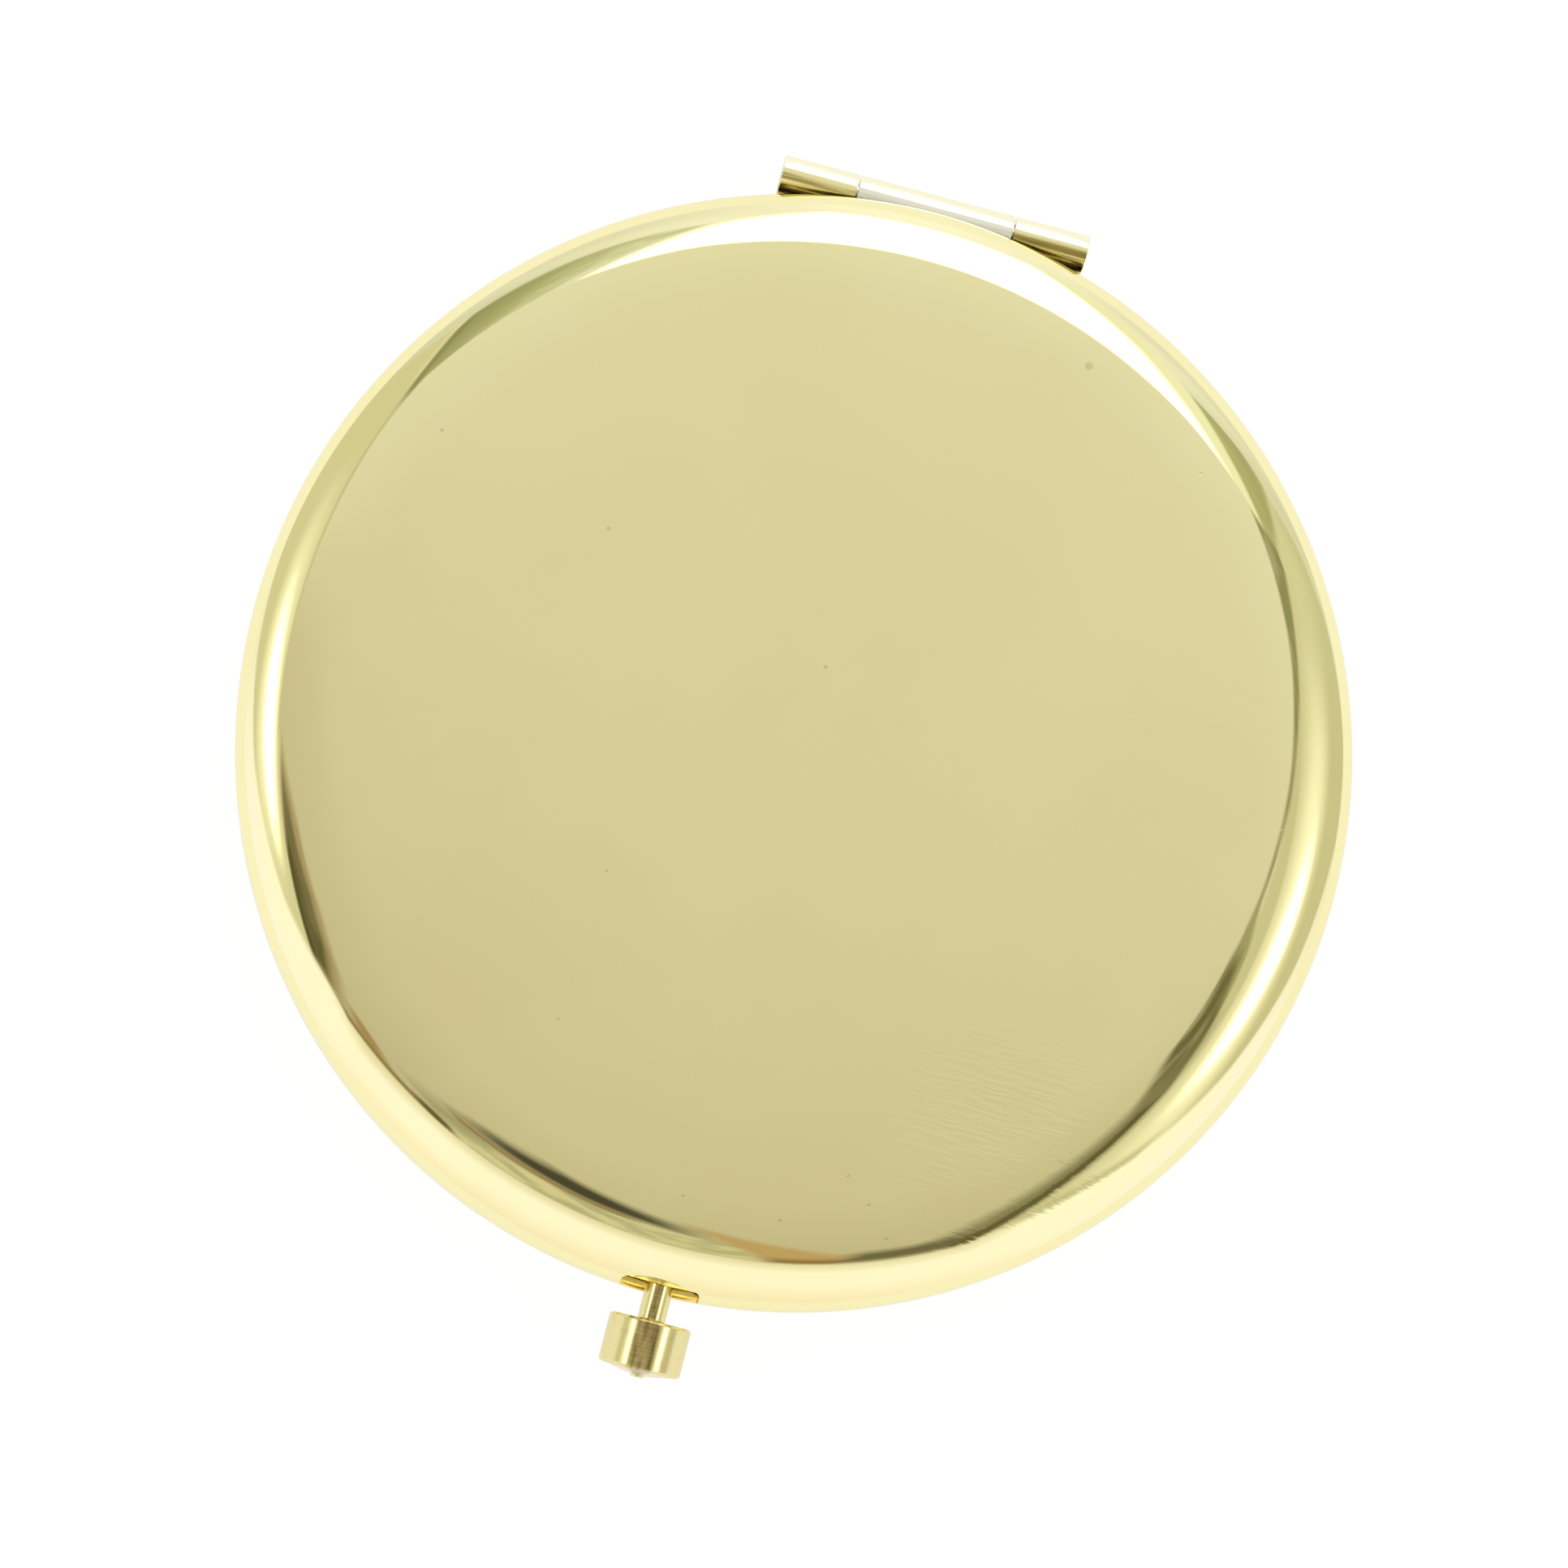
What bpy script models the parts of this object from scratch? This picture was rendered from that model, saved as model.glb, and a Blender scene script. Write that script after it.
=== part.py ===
"""A round pocket mirror: two stamped halves, a knuckle hinge and a push-button catch.

Run it with: blender --background --python part.py, or from Blender's text editor.

Every size is in metres. The origin is the centre of the flat underside. +Z is up, +Y points to
the hinge and -Y to the push button. The case is modelled shut, with the button out.
"""

import math

import bmesh
import bpy
from mathutils import Matrix, Vector

# The stamped case. Both halves are the same pan, one upside down on the other
CASE_RADIUS = 0.0350
CASE_SHEET = 0.0005
SHOULDER_WIDTH = 0.0060
SHOULDER_HEIGHT = 0.0030
RIM_GAP = 0.0003

# Room between pieces
SEAT_GAP = 0.0003
PIN_GAP = 0.00005
GUIDE_GAP = 0.00008
KNUCKLE_GAP = 0.0001
SIDE_GAP = 0.0002

# What lies in each half, from the face inwards
BASE_PAD_THICKNESS = 0.0004
BASE_PAD_WIDTH = 0.0060
LID_PAD_THICKNESS = 0.0005
PAD_SETBACK = 0.0005
GLASS_THICKNESS = 0.0012
GLASS_CHAMFER = 0.00015
MAGNIFYING_SAG = 0.0005
MIRROR_BORDER = 0.0070
RING_SHEET = 0.0004
RING_OVERLAP = 0.0008
RING_FLANGE = 0.0009
RING_EDGE = 0.00012

# The strip that the hinge, the bracket, the slide and the striker are bent from
STRIP = 0.0005
BEND_RADIUS = 0.0002

# The hinge
HINGE_LENGTH = 0.01985
OUTER_KNUCKLE_LENGTH = 0.0048
PIN_RADIUS = 0.00065
PIN_CHAMFER = 0.0001
HINGE_OVERHANG = 0.0001
LEAF_REACH = 0.0039
LEAF_RIVET_FROM_END = 0.0008
MIDDLE_RIVET_OFFSET = 0.0030
HINGE_NOTCH_GAP = 0.00015

# Rivets
RIVET_RADIUS = 0.0003
RIVET_HEAD_RADIUS = 0.000475
RIVET_HEAD_HEIGHT = 0.0002
RIVET_HEAD_ROUNDING = 0.0001
RIVET_GAP = 0.00005

# The push button
STEM_RISE = 0.0011
STEM_RADIUS = 0.000875
TAIL_RADIUS = 0.00055
TAIL_CHAMFER = 0.00015
HEAD_RADIUS = 0.0026
HEAD_LENGTH = 0.00315
HEAD_CHAMFER = 0.0002
HEAD_CONE = 0.00035
NUB_RADIUS = 0.00042
NUB_HEIGHT = 0.00012
NUB_CHAMFER = 0.00005
TRAVEL = 0.0012
TRAVEL_SPARE = 0.0004

# The opening in the lid's edge and the bracket behind it
NOTCH_WIDTH = 0.0050
NOTCH_HEAD_ROOM = 0.0006
NOTCH_CORNER = 0.0004
GUIDE_WALL_OVER_STEM = 0.0003
EAR_REACH = 0.0023
EAR_DEPTH = 0.0014
EAR_SETBACK = 0.0030

# The catch: the slide's noses reach over the striker's bar
STRIKER_SETBACK = 0.0003
STRIKER_DEPTH = 0.0010
STRIKER_FOOT = 0.0015
STRIKER_RISE = 0.00015
NOSE_HEIGHT = 0.0004
NOSE_REACH = 0.0004
NOSE_RAMP = 0.00022
NOSE_GAP = 0.0002
NOSE_RISE = 0.0001
ARM_DEPTH = 0.0005
SLOT_SIDE_GAP = 0.0004

# The return spring
SPRING_RADIUS = 0.00085
SPRING_WIRE = 0.0003
SPRING_PITCH = 0.00075
SPRING_END_GAP = 0.0001
SPRING_SIDE_GAP = 0.0004
WASHER_THICKNESS = 0.0002

# How far a cutter runs past what it cuts
OVERRUN = 0.0010

# Points that are closer than this are one point
WELD = 0.000001

# Counts of facets
CASE_STEPS = 60
PIN_STEPS = 20
STEM_STEPS = 28
RIVET_STEPS = 10
SHOULDER_POINTS = 6
GLASS_POINTS = 4
BARREL_POINTS = 22
BEND_POINTS = 3
CURL_POINTS = 10

# Heights, built up from the table
STACK_FLOOR = CASE_SHEET + SEAT_GAP
GLASS_BOTTOM = STACK_FLOOR + LID_PAD_THICKNESS + SEAT_GAP
GLASS_TOP = GLASS_BOTTOM + GLASS_THICKNESS
RING_TOP = GLASS_TOP + SEAT_GAP + RING_SHEET
HALF_HEIGHT = RING_TOP + SEAT_GAP + STRIP
CASE_HEIGHT = 2 * HALF_HEIGHT + RIM_GAP
PARTING_Z = CASE_HEIGHT / 2

# Radii, worked inwards from the case
FACE_RADIUS = CASE_RADIUS - SHOULDER_WIDTH
WALL_RADIUS = CASE_RADIUS - CASE_SHEET
GLASS_RADIUS = CASE_RADIUS - MIRROR_BORDER
RING_INNER_RADIUS = GLASS_RADIUS - RING_OVERLAP

# The hinge's barrel, round the pin
BORE_RADIUS = PIN_RADIUS + PIN_GAP
BARREL_RADIUS = BORE_RADIUS + STRIP
HINGE_Y = CASE_RADIUS + HINGE_OVERHANG
LEAF_END_Y = HINGE_Y - LEAF_REACH
LEAF_RIVET_Y = LEAF_END_Y + LEAF_RIVET_FROM_END
MIDDLE_KNUCKLE_LENGTH = HINGE_LENGTH - 2 * (OUTER_KNUCKLE_LENGTH + KNUCKLE_GAP)
OUTER_KNUCKLE_X = (HINGE_LENGTH - OUTER_KNUCKLE_LENGTH) / 2

# The catch, along the stem from the lid's edge inwards
STEM_Z = PARTING_Z + STEM_RISE
GUIDE_FRONT_Y = -(WALL_RADIUS - SEAT_GAP)
SLIDE_FRONT_Y = GUIDE_FRONT_Y + STRIP + SEAT_GAP
SLIDE_WEB_Y = SLIDE_FRONT_Y + STRIP
WASHER_Y = SLIDE_WEB_Y + PIN_GAP
SPRING_FRONT_Y = WASHER_Y + WASHER_THICKNESS + SPRING_END_GAP
GUIDE_REAR_Y = -(GLASS_RADIUS + SEAT_GAP)
GUIDE_REAR_FACE_Y = GUIDE_REAR_Y - STRIP
SPRING_REAR_Y = GUIDE_REAR_FACE_Y - SPRING_END_GAP
TAIL_END_Y = GUIDE_REAR_FACE_Y - TRAVEL - TRAVEL_SPARE
STRIKER_FRONT_Y = SLIDE_FRONT_Y + STRIKER_SETBACK
STRIKER_REAR_Y = STRIKER_FRONT_Y + STRIKER_DEPTH
NOSE_TIP_Y = STRIKER_REAR_Y + NOSE_GAP
ARM_FRONT_Y = NOSE_TIP_Y + NOSE_REACH
ARM_REAR_Y = ARM_FRONT_Y + ARM_DEPTH

# The catch, upwards from the base's ring
BRACKET_BOTTOM = RING_TOP + SEAT_GAP
BRACKET_FLOOR = BRACKET_BOTTOM + STRIP
SLIDE_BOTTOM = BRACKET_FLOOR + SEAT_GAP
SPRING_OUTER_RADIUS = SPRING_RADIUS + SPRING_WIRE / 2
SLIDE_SHOULDER = STEM_Z + SPRING_OUTER_RADIUS
STRIKER_BAR_BOTTOM = SLIDE_SHOULDER + STRIKER_RISE
STRIKER_BAR_TOP = STRIKER_BAR_BOTTOM + STRIP
NOSE_BOTTOM = STRIKER_BAR_TOP + NOSE_RISE
NOSE_TOP = NOSE_BOTTOM + NOSE_HEIGHT
GUIDE_TOP = STEM_Z + STEM_RADIUS + GUIDE_WALL_OVER_STEM
NOTCH_TOP = STEM_Z + STEM_RADIUS + NOTCH_HEAD_ROOM

# The catch, sideways
BRACKET_HALF_WIDTH = NOTCH_WIDTH / 2 - SIDE_GAP
SLIDE_INNER_HALF_WIDTH = SPRING_OUTER_RADIUS + SPRING_SIDE_GAP
SLIDE_HALF_WIDTH = SLIDE_INNER_HALF_WIDTH + STRIP
SLOT_HALF_WIDTH = BRACKET_HALF_WIDTH + SLOT_SIDE_GAP
EAR_RIVET_X = BRACKET_HALF_WIDTH + EAR_REACH / 2
EAR_Y = GUIDE_FRONT_Y + EAR_SETBACK
STRIKER_RIVET_X = SLOT_HALF_WIDTH + STRIP + STRIKER_FOOT / 2
STRIKER_RIVET_Y = (STRIKER_FRONT_Y + STRIKER_REAR_Y) / 2

# Colours and surfaces: colour, roughness, metallic
FINISHES = {
    "polished_gold": ((0.93, 0.86, 0.60, 1.0), 0.08, 1.0),
    "ring_gold": ((0.88, 0.78, 0.50, 1.0), 0.18, 1.0),
    "brass": ((0.80, 0.62, 0.30, 1.0), 0.25, 1.0),
    "steel": ((0.62, 0.63, 0.65, 1.0), 0.25, 1.0),
    "silvered_glass": ((0.85, 0.88, 0.90, 1.0), 0.02, 1.0),
    "foam": ((0.90, 0.89, 0.85, 1.0), 0.90, 0.0),
}

# Turns that carry a piece's own axes to the case's axes
ALONG_X = (0.0, math.pi / 2, 0.0)
OUTLINE_YZ = (math.pi / 2, 0.0, math.pi / 2)
OUTLINE_XZ = (math.pi / 2, 0.0, 0.0)
TOWARDS_FRONT = (math.pi / 2, 0.0, 0.0)
UPRIGHT = (0.0, 0.0, 0.0)
CREASE_ANGLE = math.radians(32)


def new_collection(name):
    """A collection of its own in the scene."""
    made = bpy.data.collections.new(name)
    bpy.context.scene.collection.children.link(made)
    return made


def new_object(name, data, collection, place=(0.0, 0.0, 0.0), turn=UPRIGHT):
    """An object with this data, placed and turned."""
    made = bpy.data.objects.new(name, data)
    made.location = place
    made.rotation_euler = turn
    collection.objects.link(made)
    return made


def as_cutter(piece):
    """Marks a piece as one that only cuts others."""
    piece.hide_render = True
    piece.display_type = "WIRE"
    return piece


def outline_of_arc(centre, radius, start, end, points):
    """Points along an arc, both ends included, from one angle to the other."""
    steps = range(points + 1)
    angles = [start + (end - start) * step / points for step in steps]
    return [(centre[0] + radius * math.cos(a), centre[1] + radius * math.sin(a)) for a in angles]


def rounded(corners):
    """An outline whose corners (x, y, radius) are rounded, as sheet is when it is bent or cut."""
    outline = []
    for index, (x, y, radius) in enumerate(corners):
        corner = Vector((x, y))
        if radius == 0:
            outline.append((x, y))
            continue
        before = Vector(corners[index - 1][:2])
        after = Vector(corners[(index + 1) % len(corners)][:2])
        to_before = (before - corner).normalized()
        to_after = (after - corner).normalized()
        half_angle = to_before.angle(to_after) / 2
        centre = corner + (to_before + to_after).normalized() * (radius / math.sin(half_angle))
        reach = radius / math.tan(half_angle)
        first = corner + to_before * reach - centre
        last = corner + to_after * reach - centre
        start = math.atan2(first.y, first.x)
        turn = math.remainder(math.atan2(last.y, last.x) - start, 2 * math.pi)
        outline += outline_of_arc(centre, radius, start, start + turn, BEND_POINTS)
    return outline


def turned(name, profile, steps, collection, place=(0.0, 0.0, 0.0), turn=UPRIGHT):
    """A turned piece: a profile of (radius, height), down its outer side, carried round by a Screw.

    A profile that starts and ends on the axis stays open, and any other is closed.
    """
    points = [(radius, 0.0, height) for radius, height in profile]
    edges = [(index, index + 1) for index in range(len(points) - 1)]
    solid = profile[0][0] == 0 and profile[-1][0] == 0
    if not solid:
        edges.append((len(points) - 1, 0))
    mesh = bpy.data.meshes.new(name)
    mesh.from_pydata(points, edges, [])
    piece = new_object(name, mesh, collection, place, turn)
    screw = piece.modifiers.new("round", "SCREW")
    screw.axis = "Z"
    screw.angle = 2 * math.pi
    screw.steps = steps
    screw.render_steps = steps
    screw.use_merge_vertices = True
    screw.merge_threshold = WELD
    screw.use_smooth_shade = True
    return piece


def plate(name, outline, thickness, collection, place=(0.0, 0.0, 0.0), turn=UPRIGHT):
    """A flat outline with a thickness, half to each side of its plane."""
    curve = bpy.data.curves.new(name, "CURVE")
    curve.dimensions = "2D"
    curve.fill_mode = "BOTH"
    curve.extrude = thickness / 2
    spline = curve.splines.new("POLY")
    spline.points.add(len(outline) - 1)
    for point, (x, y) in zip(spline.points, outline):
        point.co = (x, y, 0.0, 1.0)
    spline.use_cyclic_u = True
    return mesh_from_curve(name, curve, collection, place, turn)


def mesh_from_curve(name, curve, collection, place, turn):
    """The curve as a mesh object in the same place, with its caps welded on."""
    drawn = new_object(name + "_drawn", curve, collection, place, turn)
    bpy.context.view_layer.update()
    evaluated = drawn.evaluated_get(bpy.context.evaluated_depsgraph_get())
    mesh = bpy.data.meshes.new_from_object(evaluated)
    mesh.name = name
    body = bmesh.new()
    body.from_mesh(mesh)
    bmesh.ops.remove_doubles(body, verts=body.verts, dist=WELD)
    bmesh.ops.recalc_face_normals(body, faces=body.faces)
    body.to_mesh(mesh)
    body.free()
    piece = new_object(name, mesh, collection)
    piece.matrix_world = drawn.matrix_world
    bpy.data.objects.remove(drawn)
    bpy.data.curves.remove(curve)
    return piece


def box(name, low, high, collection):
    """A box between two corners."""
    low = Vector(low)
    high = Vector(high)
    size = high - low
    body = bmesh.new()
    bmesh.ops.create_cube(body, size=1.0)
    bmesh.ops.scale(body, vec=size, verts=body.verts)
    mesh = bpy.data.meshes.new(name)
    body.to_mesh(mesh)
    body.free()
    return new_object(name, mesh, collection, (low + high) / 2)


def rod(name, radius, length, steps, collection, place, turn=UPRIGHT):
    """A round bar about its own Z axis."""
    body = bmesh.new()
    bmesh.ops.create_cone(
        body, cap_ends=True, segments=steps, radius1=radius, radius2=radius, depth=length
    )
    mesh = bpy.data.meshes.new(name)
    body.to_mesh(mesh)
    body.free()
    return new_object(name, mesh, collection, place, turn)


def combine(piece, other, operation):
    """A live Boolean of one piece with another."""
    boolean = piece.modifiers.new(other.name, "BOOLEAN")
    boolean.operation = operation
    boolean.solver = "EXACT"
    boolean.object = other


def cut(piece, cutter):
    """Takes the cutter's shape out of the piece."""
    combine(piece, cutter, "DIFFERENCE")


def settle(piece, finish):
    """Applies the piece's modifiers, shades it with crisp edges and gives it a material of its own."""
    bpy.context.view_layer.update()
    evaluated = piece.evaluated_get(bpy.context.evaluated_depsgraph_get())
    mesh = bpy.data.meshes.new_from_object(evaluated)
    mesh.name = piece.name
    old = piece.data
    piece.modifiers.clear()
    piece.data = mesh
    bpy.data.meshes.remove(old)
    mesh.shade_smooth()
    mesh.set_sharp_from_angle(angle=CREASE_ANGLE)
    colour, roughness, metallic = FINISHES[finish]
    made = bpy.data.materials.new(f"{piece.name}_{finish}")
    made.use_nodes = True
    shader = made.node_tree.nodes["Principled BSDF"]
    shader.inputs["Base Color"].default_value = colour
    shader.inputs["Roughness"].default_value = roughness
    shader.inputs["Metallic"].default_value = metallic
    mesh.materials.clear()
    mesh.materials.append(made)
    return piece


def moving_axis(name, place, collection):
    """An empty on a joint's axis, which the moving pieces hang from."""
    return new_object(name, None, collection, place)


def hang(pieces, axis):
    """Parents the pieces to an axis and leaves them where they are."""
    for piece in pieces:
        piece.parent = axis
        piece.matrix_parent_inverse = Matrix.Translation(-axis.location)


def overturned(profile):
    """The same profile in the lid, upside down about the parting plane."""
    return [(radius, CASE_HEIGHT - height) for radius, height in reversed(profile)]


def shoulder(width, height, top):
    """A quarter of an ellipse from the skirt down to the face."""
    points = []
    for step in range(SHOULDER_POINTS + 1):
        angle = (math.pi / 2) * step / SHOULDER_POINTS
        points.append((FACE_RADIUS + width * math.cos(angle), top - height * math.sin(angle)))
    return points


def wall_radius_at(height):
    """Radius of the inside of a half at this height over the table."""
    depth = SHOULDER_HEIGHT - height
    if depth <= 0:
        return WALL_RADIUS
    share = math.sqrt(1 - (depth / (SHOULDER_HEIGHT - CASE_SHEET)) ** 2)
    return FACE_RADIUS + (SHOULDER_WIDTH - CASE_SHEET) * share


def shell_profile():
    """Outside of the pan from its rim down to the face, then the inside back up to the rim."""
    outside = shoulder(SHOULDER_WIDTH, SHOULDER_HEIGHT, SHOULDER_HEIGHT)
    inside = shoulder(SHOULDER_WIDTH - CASE_SHEET, SHOULDER_HEIGHT - CASE_SHEET, SHOULDER_HEIGHT)
    outer = [(CASE_RADIUS, HALF_HEIGHT)] + outside + [(0.0, 0.0)]
    inner = [(0.0, CASE_SHEET)] + list(reversed(inside)) + [(WALL_RADIUS, HALF_HEIGHT)]
    return inner + outer


def ring_profile():
    """Bezel ring: a flat ring over the edge of the glass with a flange down its outer side."""
    flange_bottom = RING_TOP - RING_FLANGE
    outer = wall_radius_at(flange_bottom) - SEAT_GAP
    bottom = RING_TOP - RING_SHEET
    return [
        (outer, RING_TOP - RING_EDGE),
        (outer, flange_bottom),
        (outer - RING_SHEET, flange_bottom),
        (outer - RING_SHEET, bottom),
        (RING_INNER_RADIUS + RING_EDGE, bottom),
        (RING_INNER_RADIUS, bottom + RING_EDGE),
        (RING_INNER_RADIUS, RING_TOP - RING_EDGE),
        (RING_INNER_RADIUS + RING_EDGE, RING_TOP),
        (outer - RING_EDGE, RING_TOP),
    ]


def glass_profile(sag):
    """Round glass with ground edges, hollowed by the sag at its middle."""
    flat_radius = GLASS_RADIUS - GLASS_CHAMFER
    steps = range(GLASS_POINTS + 1)
    radii = [flat_radius * step / GLASS_POINTS for step in steps] if sag else [0.0, flat_radius]
    dips = [sag * (1 - (radius / flat_radius) ** 2) for radius in radii]
    top = [(radius, GLASS_TOP - dip) for radius, dip in zip(radii, dips)]
    bottom = [(radius, GLASS_BOTTOM - dip) for radius, dip in zip(radii, dips)]
    edge = [(GLASS_RADIUS, GLASS_TOP - GLASS_CHAMFER), (GLASS_RADIUS, GLASS_BOTTOM + GLASS_CHAMFER)]
    return top + edge + list(reversed(bottom))


def base_pad_profile():
    """Foam ring under the rim of the hollow glass."""
    outer = GLASS_RADIUS - PAD_SETBACK
    inner = outer - BASE_PAD_WIDTH
    top = STACK_FLOOR + BASE_PAD_THICKNESS
    return [(outer, top), (outer, STACK_FLOOR), (inner, STACK_FLOOR), (inner, top)]


def lid_pad_profile():
    """Foam disc behind the flat glass."""
    outer = GLASS_RADIUS - PAD_SETBACK
    top = STACK_FLOOR + LID_PAD_THICKNESS
    return [(0.0, top), (outer, top), (outer, STACK_FLOOR), (0.0, STACK_FLOOR)]


def hinge_notch(name, cutters):
    """Clears both skirts round the barrel."""
    half_length = HINGE_LENGTH / 2 + SEAT_GAP
    half_height = BARREL_RADIUS + HINGE_NOTCH_GAP
    low = (-half_length, FACE_RADIUS, PARTING_Z - half_height)
    high = (half_length, CASE_RADIUS + OVERRUN, PARTING_Z + half_height)
    return as_cutter(box(name, low, high, cutters))


def ring_chord(name, cutters):
    """Trims both rings where the barrel comes close."""
    half_length = HINGE_LENGTH / 2 + SEAT_GAP
    low = (-half_length, HINGE_Y - BARREL_RADIUS - SEAT_GAP, 0.0)
    high = (half_length, CASE_RADIUS + OVERRUN, CASE_HEIGHT)
    return as_cutter(box(name, low, high, cutters))


def stem_notch(name, cutters):
    """The opening for the button's stem, open at the lid's edge."""
    half_width = NOTCH_WIDTH / 2
    outline = rounded(
        [
            (-half_width, PARTING_Z - OVERRUN, 0),
            (half_width, PARTING_Z - OVERRUN, 0),
            (half_width, NOTCH_TOP, NOTCH_CORNER),
            (-half_width, NOTCH_TOP, NOTCH_CORNER),
        ]
    )
    depth = CASE_RADIUS + OVERRUN - FACE_RADIUS
    middle = (0.0, -(FACE_RADIUS + depth / 2), 0.0)
    return as_cutter(plate(name, outline, depth, cutters, middle, OUTLINE_XZ))


def catch_slot(name, cutters):
    """The slot in the lid's ring that drops over the bracket and the slide."""
    low = (-SLOT_HALF_WIDTH, -(CASE_RADIUS + OVERRUN), PARTING_Z)
    high = (SLOT_HALF_WIDTH, -GLASS_RADIUS, CASE_HEIGHT)
    return as_cutter(box(name, low, high, cutters))


def rivet_hole(name, x, y, cutters):
    """An upright hole through everything at one rivet."""
    radius = RIVET_RADIUS + RIVET_GAP
    middle = (x, y, PARTING_Z)
    return as_cutter(rod(name, radius, CASE_HEIGHT, RIVET_STEPS, cutters, middle))


def rivet_profile(bottom, top):
    """Rivet with a head beyond each side of what it clamps."""
    upper = top + RIVET_GAP
    lower = bottom - RIVET_GAP
    inner_head = RIVET_HEAD_RADIUS - RIVET_HEAD_ROUNDING
    return [
        (0.0, upper + RIVET_HEAD_HEIGHT),
        (inner_head, upper + RIVET_HEAD_HEIGHT),
        (RIVET_HEAD_RADIUS, upper + RIVET_HEAD_HEIGHT - RIVET_HEAD_ROUNDING),
        (RIVET_HEAD_RADIUS, upper),
        (RIVET_RADIUS, upper),
        (RIVET_RADIUS, lower),
        (RIVET_HEAD_RADIUS, lower),
        (RIVET_HEAD_RADIUS, lower - RIVET_HEAD_HEIGHT + RIVET_HEAD_ROUNDING),
        (inner_head, lower - RIVET_HEAD_HEIGHT),
        (0.0, lower - RIVET_HEAD_HEIGHT),
    ]


def rivet_pair(name, half_spacing, y, bottom, top, collection, cutters, holed):
    """A left and a right rivet, and their holes in the pieces that they hold."""
    pair = []
    for side, x in (("left", -half_spacing), ("right", half_spacing)):
        profile = rivet_profile(bottom, top)
        pair.append(turned(f"{name}_{side}", profile, RIVET_STEPS, collection, (x, y, 0.0)))
        hole = rivet_hole(f"{name}_{side}_hole", x, y, cutters)
        for piece in holed:
            cut(piece, hole)
    return pair


def knuckle_outline(side):
    """Rolled strip round the pin, as (y, z) from the pin's axis.

    The leaf lies on one side of the parting plane, and the rolled end stops just short of it.
    """
    near = RIM_GAP / 2
    far = near + STRIP
    outer_start = math.pi + math.asin(far / BARREL_RADIUS)
    inner_end = math.pi + math.asin(near / BORE_RADIUS)
    outer = outline_of_arc((0.0, 0.0), BARREL_RADIUS, outer_start, 3 * math.pi, BARREL_POINTS)
    inner = outline_of_arc((0.0, 0.0), BORE_RADIUS, 3 * math.pi, inner_end, BARREL_POINTS)
    outline = outer + inner + [(-LEAF_REACH, -near), (-LEAF_REACH, -far)]
    return [(y, -side * z) for y, z in outline]


def knuckle(name, middle_x, length, side, collection):
    """One knuckle with its leaf. Side is -1 on the base and 1 on the lid."""
    place = (middle_x, HINGE_Y, PARTING_Z)
    return plate(name, knuckle_outline(side), length, collection, place, OUTLINE_YZ)


def pin_profile():
    """Pin with chamfered ends, about its middle."""
    half = HINGE_LENGTH / 2
    return [
        (0.0, half),
        (PIN_RADIUS - PIN_CHAMFER, half),
        (PIN_RADIUS, half - PIN_CHAMFER),
        (PIN_RADIUS, PIN_CHAMFER - half),
        (PIN_RADIUS - PIN_CHAMFER, -half),
        (0.0, -half),
    ]


def button_profile():
    """Head, stem and tail, outwards from the case's edge as (radius, distance)."""
    head_foot = TRAVEL + TRAVEL_SPARE
    head_edge = head_foot + HEAD_LENGTH
    nub_foot = head_edge + HEAD_CONE
    nub_end = nub_foot + NUB_HEIGHT
    stem_end = -(CASE_RADIUS + SLIDE_FRONT_Y) + PIN_GAP
    tail_end = -(CASE_RADIUS + TAIL_END_Y)
    return [
        (0.0, nub_end),
        (NUB_RADIUS - NUB_CHAMFER, nub_end),
        (NUB_RADIUS, nub_end - NUB_CHAMFER),
        (NUB_RADIUS, nub_foot),
        (HEAD_RADIUS - HEAD_CHAMFER, head_edge),
        (HEAD_RADIUS, head_edge - HEAD_CHAMFER),
        (HEAD_RADIUS, head_foot + HEAD_CHAMFER),
        (HEAD_RADIUS - HEAD_CHAMFER, head_foot),
        (STEM_RADIUS, head_foot),
        (STEM_RADIUS, stem_end),
        (TAIL_RADIUS, stem_end),
        (TAIL_RADIUS, tail_end + TAIL_CHAMFER),
        (TAIL_RADIUS - TAIL_CHAMFER, tail_end),
        (0.0, tail_end),
    ]


def slide_outline():
    """Side of the slide as (y, z): a low channel round the spring, then an arm up to its nose."""
    return [
        (SLIDE_FRONT_Y, SLIDE_BOTTOM),
        (ARM_REAR_Y, SLIDE_BOTTOM),
        (ARM_REAR_Y, NOSE_TOP),
        (NOSE_TIP_Y + NOSE_RAMP, NOSE_TOP),
        (NOSE_TIP_Y, NOSE_TOP - NOSE_RAMP),
        (NOSE_TIP_Y, NOSE_BOTTOM),
        (ARM_FRONT_Y, NOSE_BOTTOM),
        (ARM_FRONT_Y, SLIDE_SHOULDER),
        (SLIDE_FRONT_Y, SLIDE_SHOULDER),
    ]


def latch_slide(collection, cutters):
    """Bent slide: a web on the button's tail and two cheeks, each with a nose."""
    width = 2 * SLIDE_HALF_WIDTH
    piece = plate("latch_slide", slide_outline(), width, collection, (0.0, 0.0, 0.0), OUTLINE_YZ)
    channel_low = (-SLIDE_INNER_HALF_WIDTH, SLIDE_WEB_Y, SLIDE_BOTTOM - OVERRUN)
    channel_high = (SLIDE_INNER_HALF_WIDTH, ARM_REAR_Y + OVERRUN, NOSE_TOP + OVERRUN)
    cut(piece, as_cutter(box("slide_channel", channel_low, channel_high, cutters)))
    cut(piece, stem_hole("slide_tail_hole", TAIL_RADIUS + PIN_GAP, SLIDE_FRONT_Y, cutters))
    return piece


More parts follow.
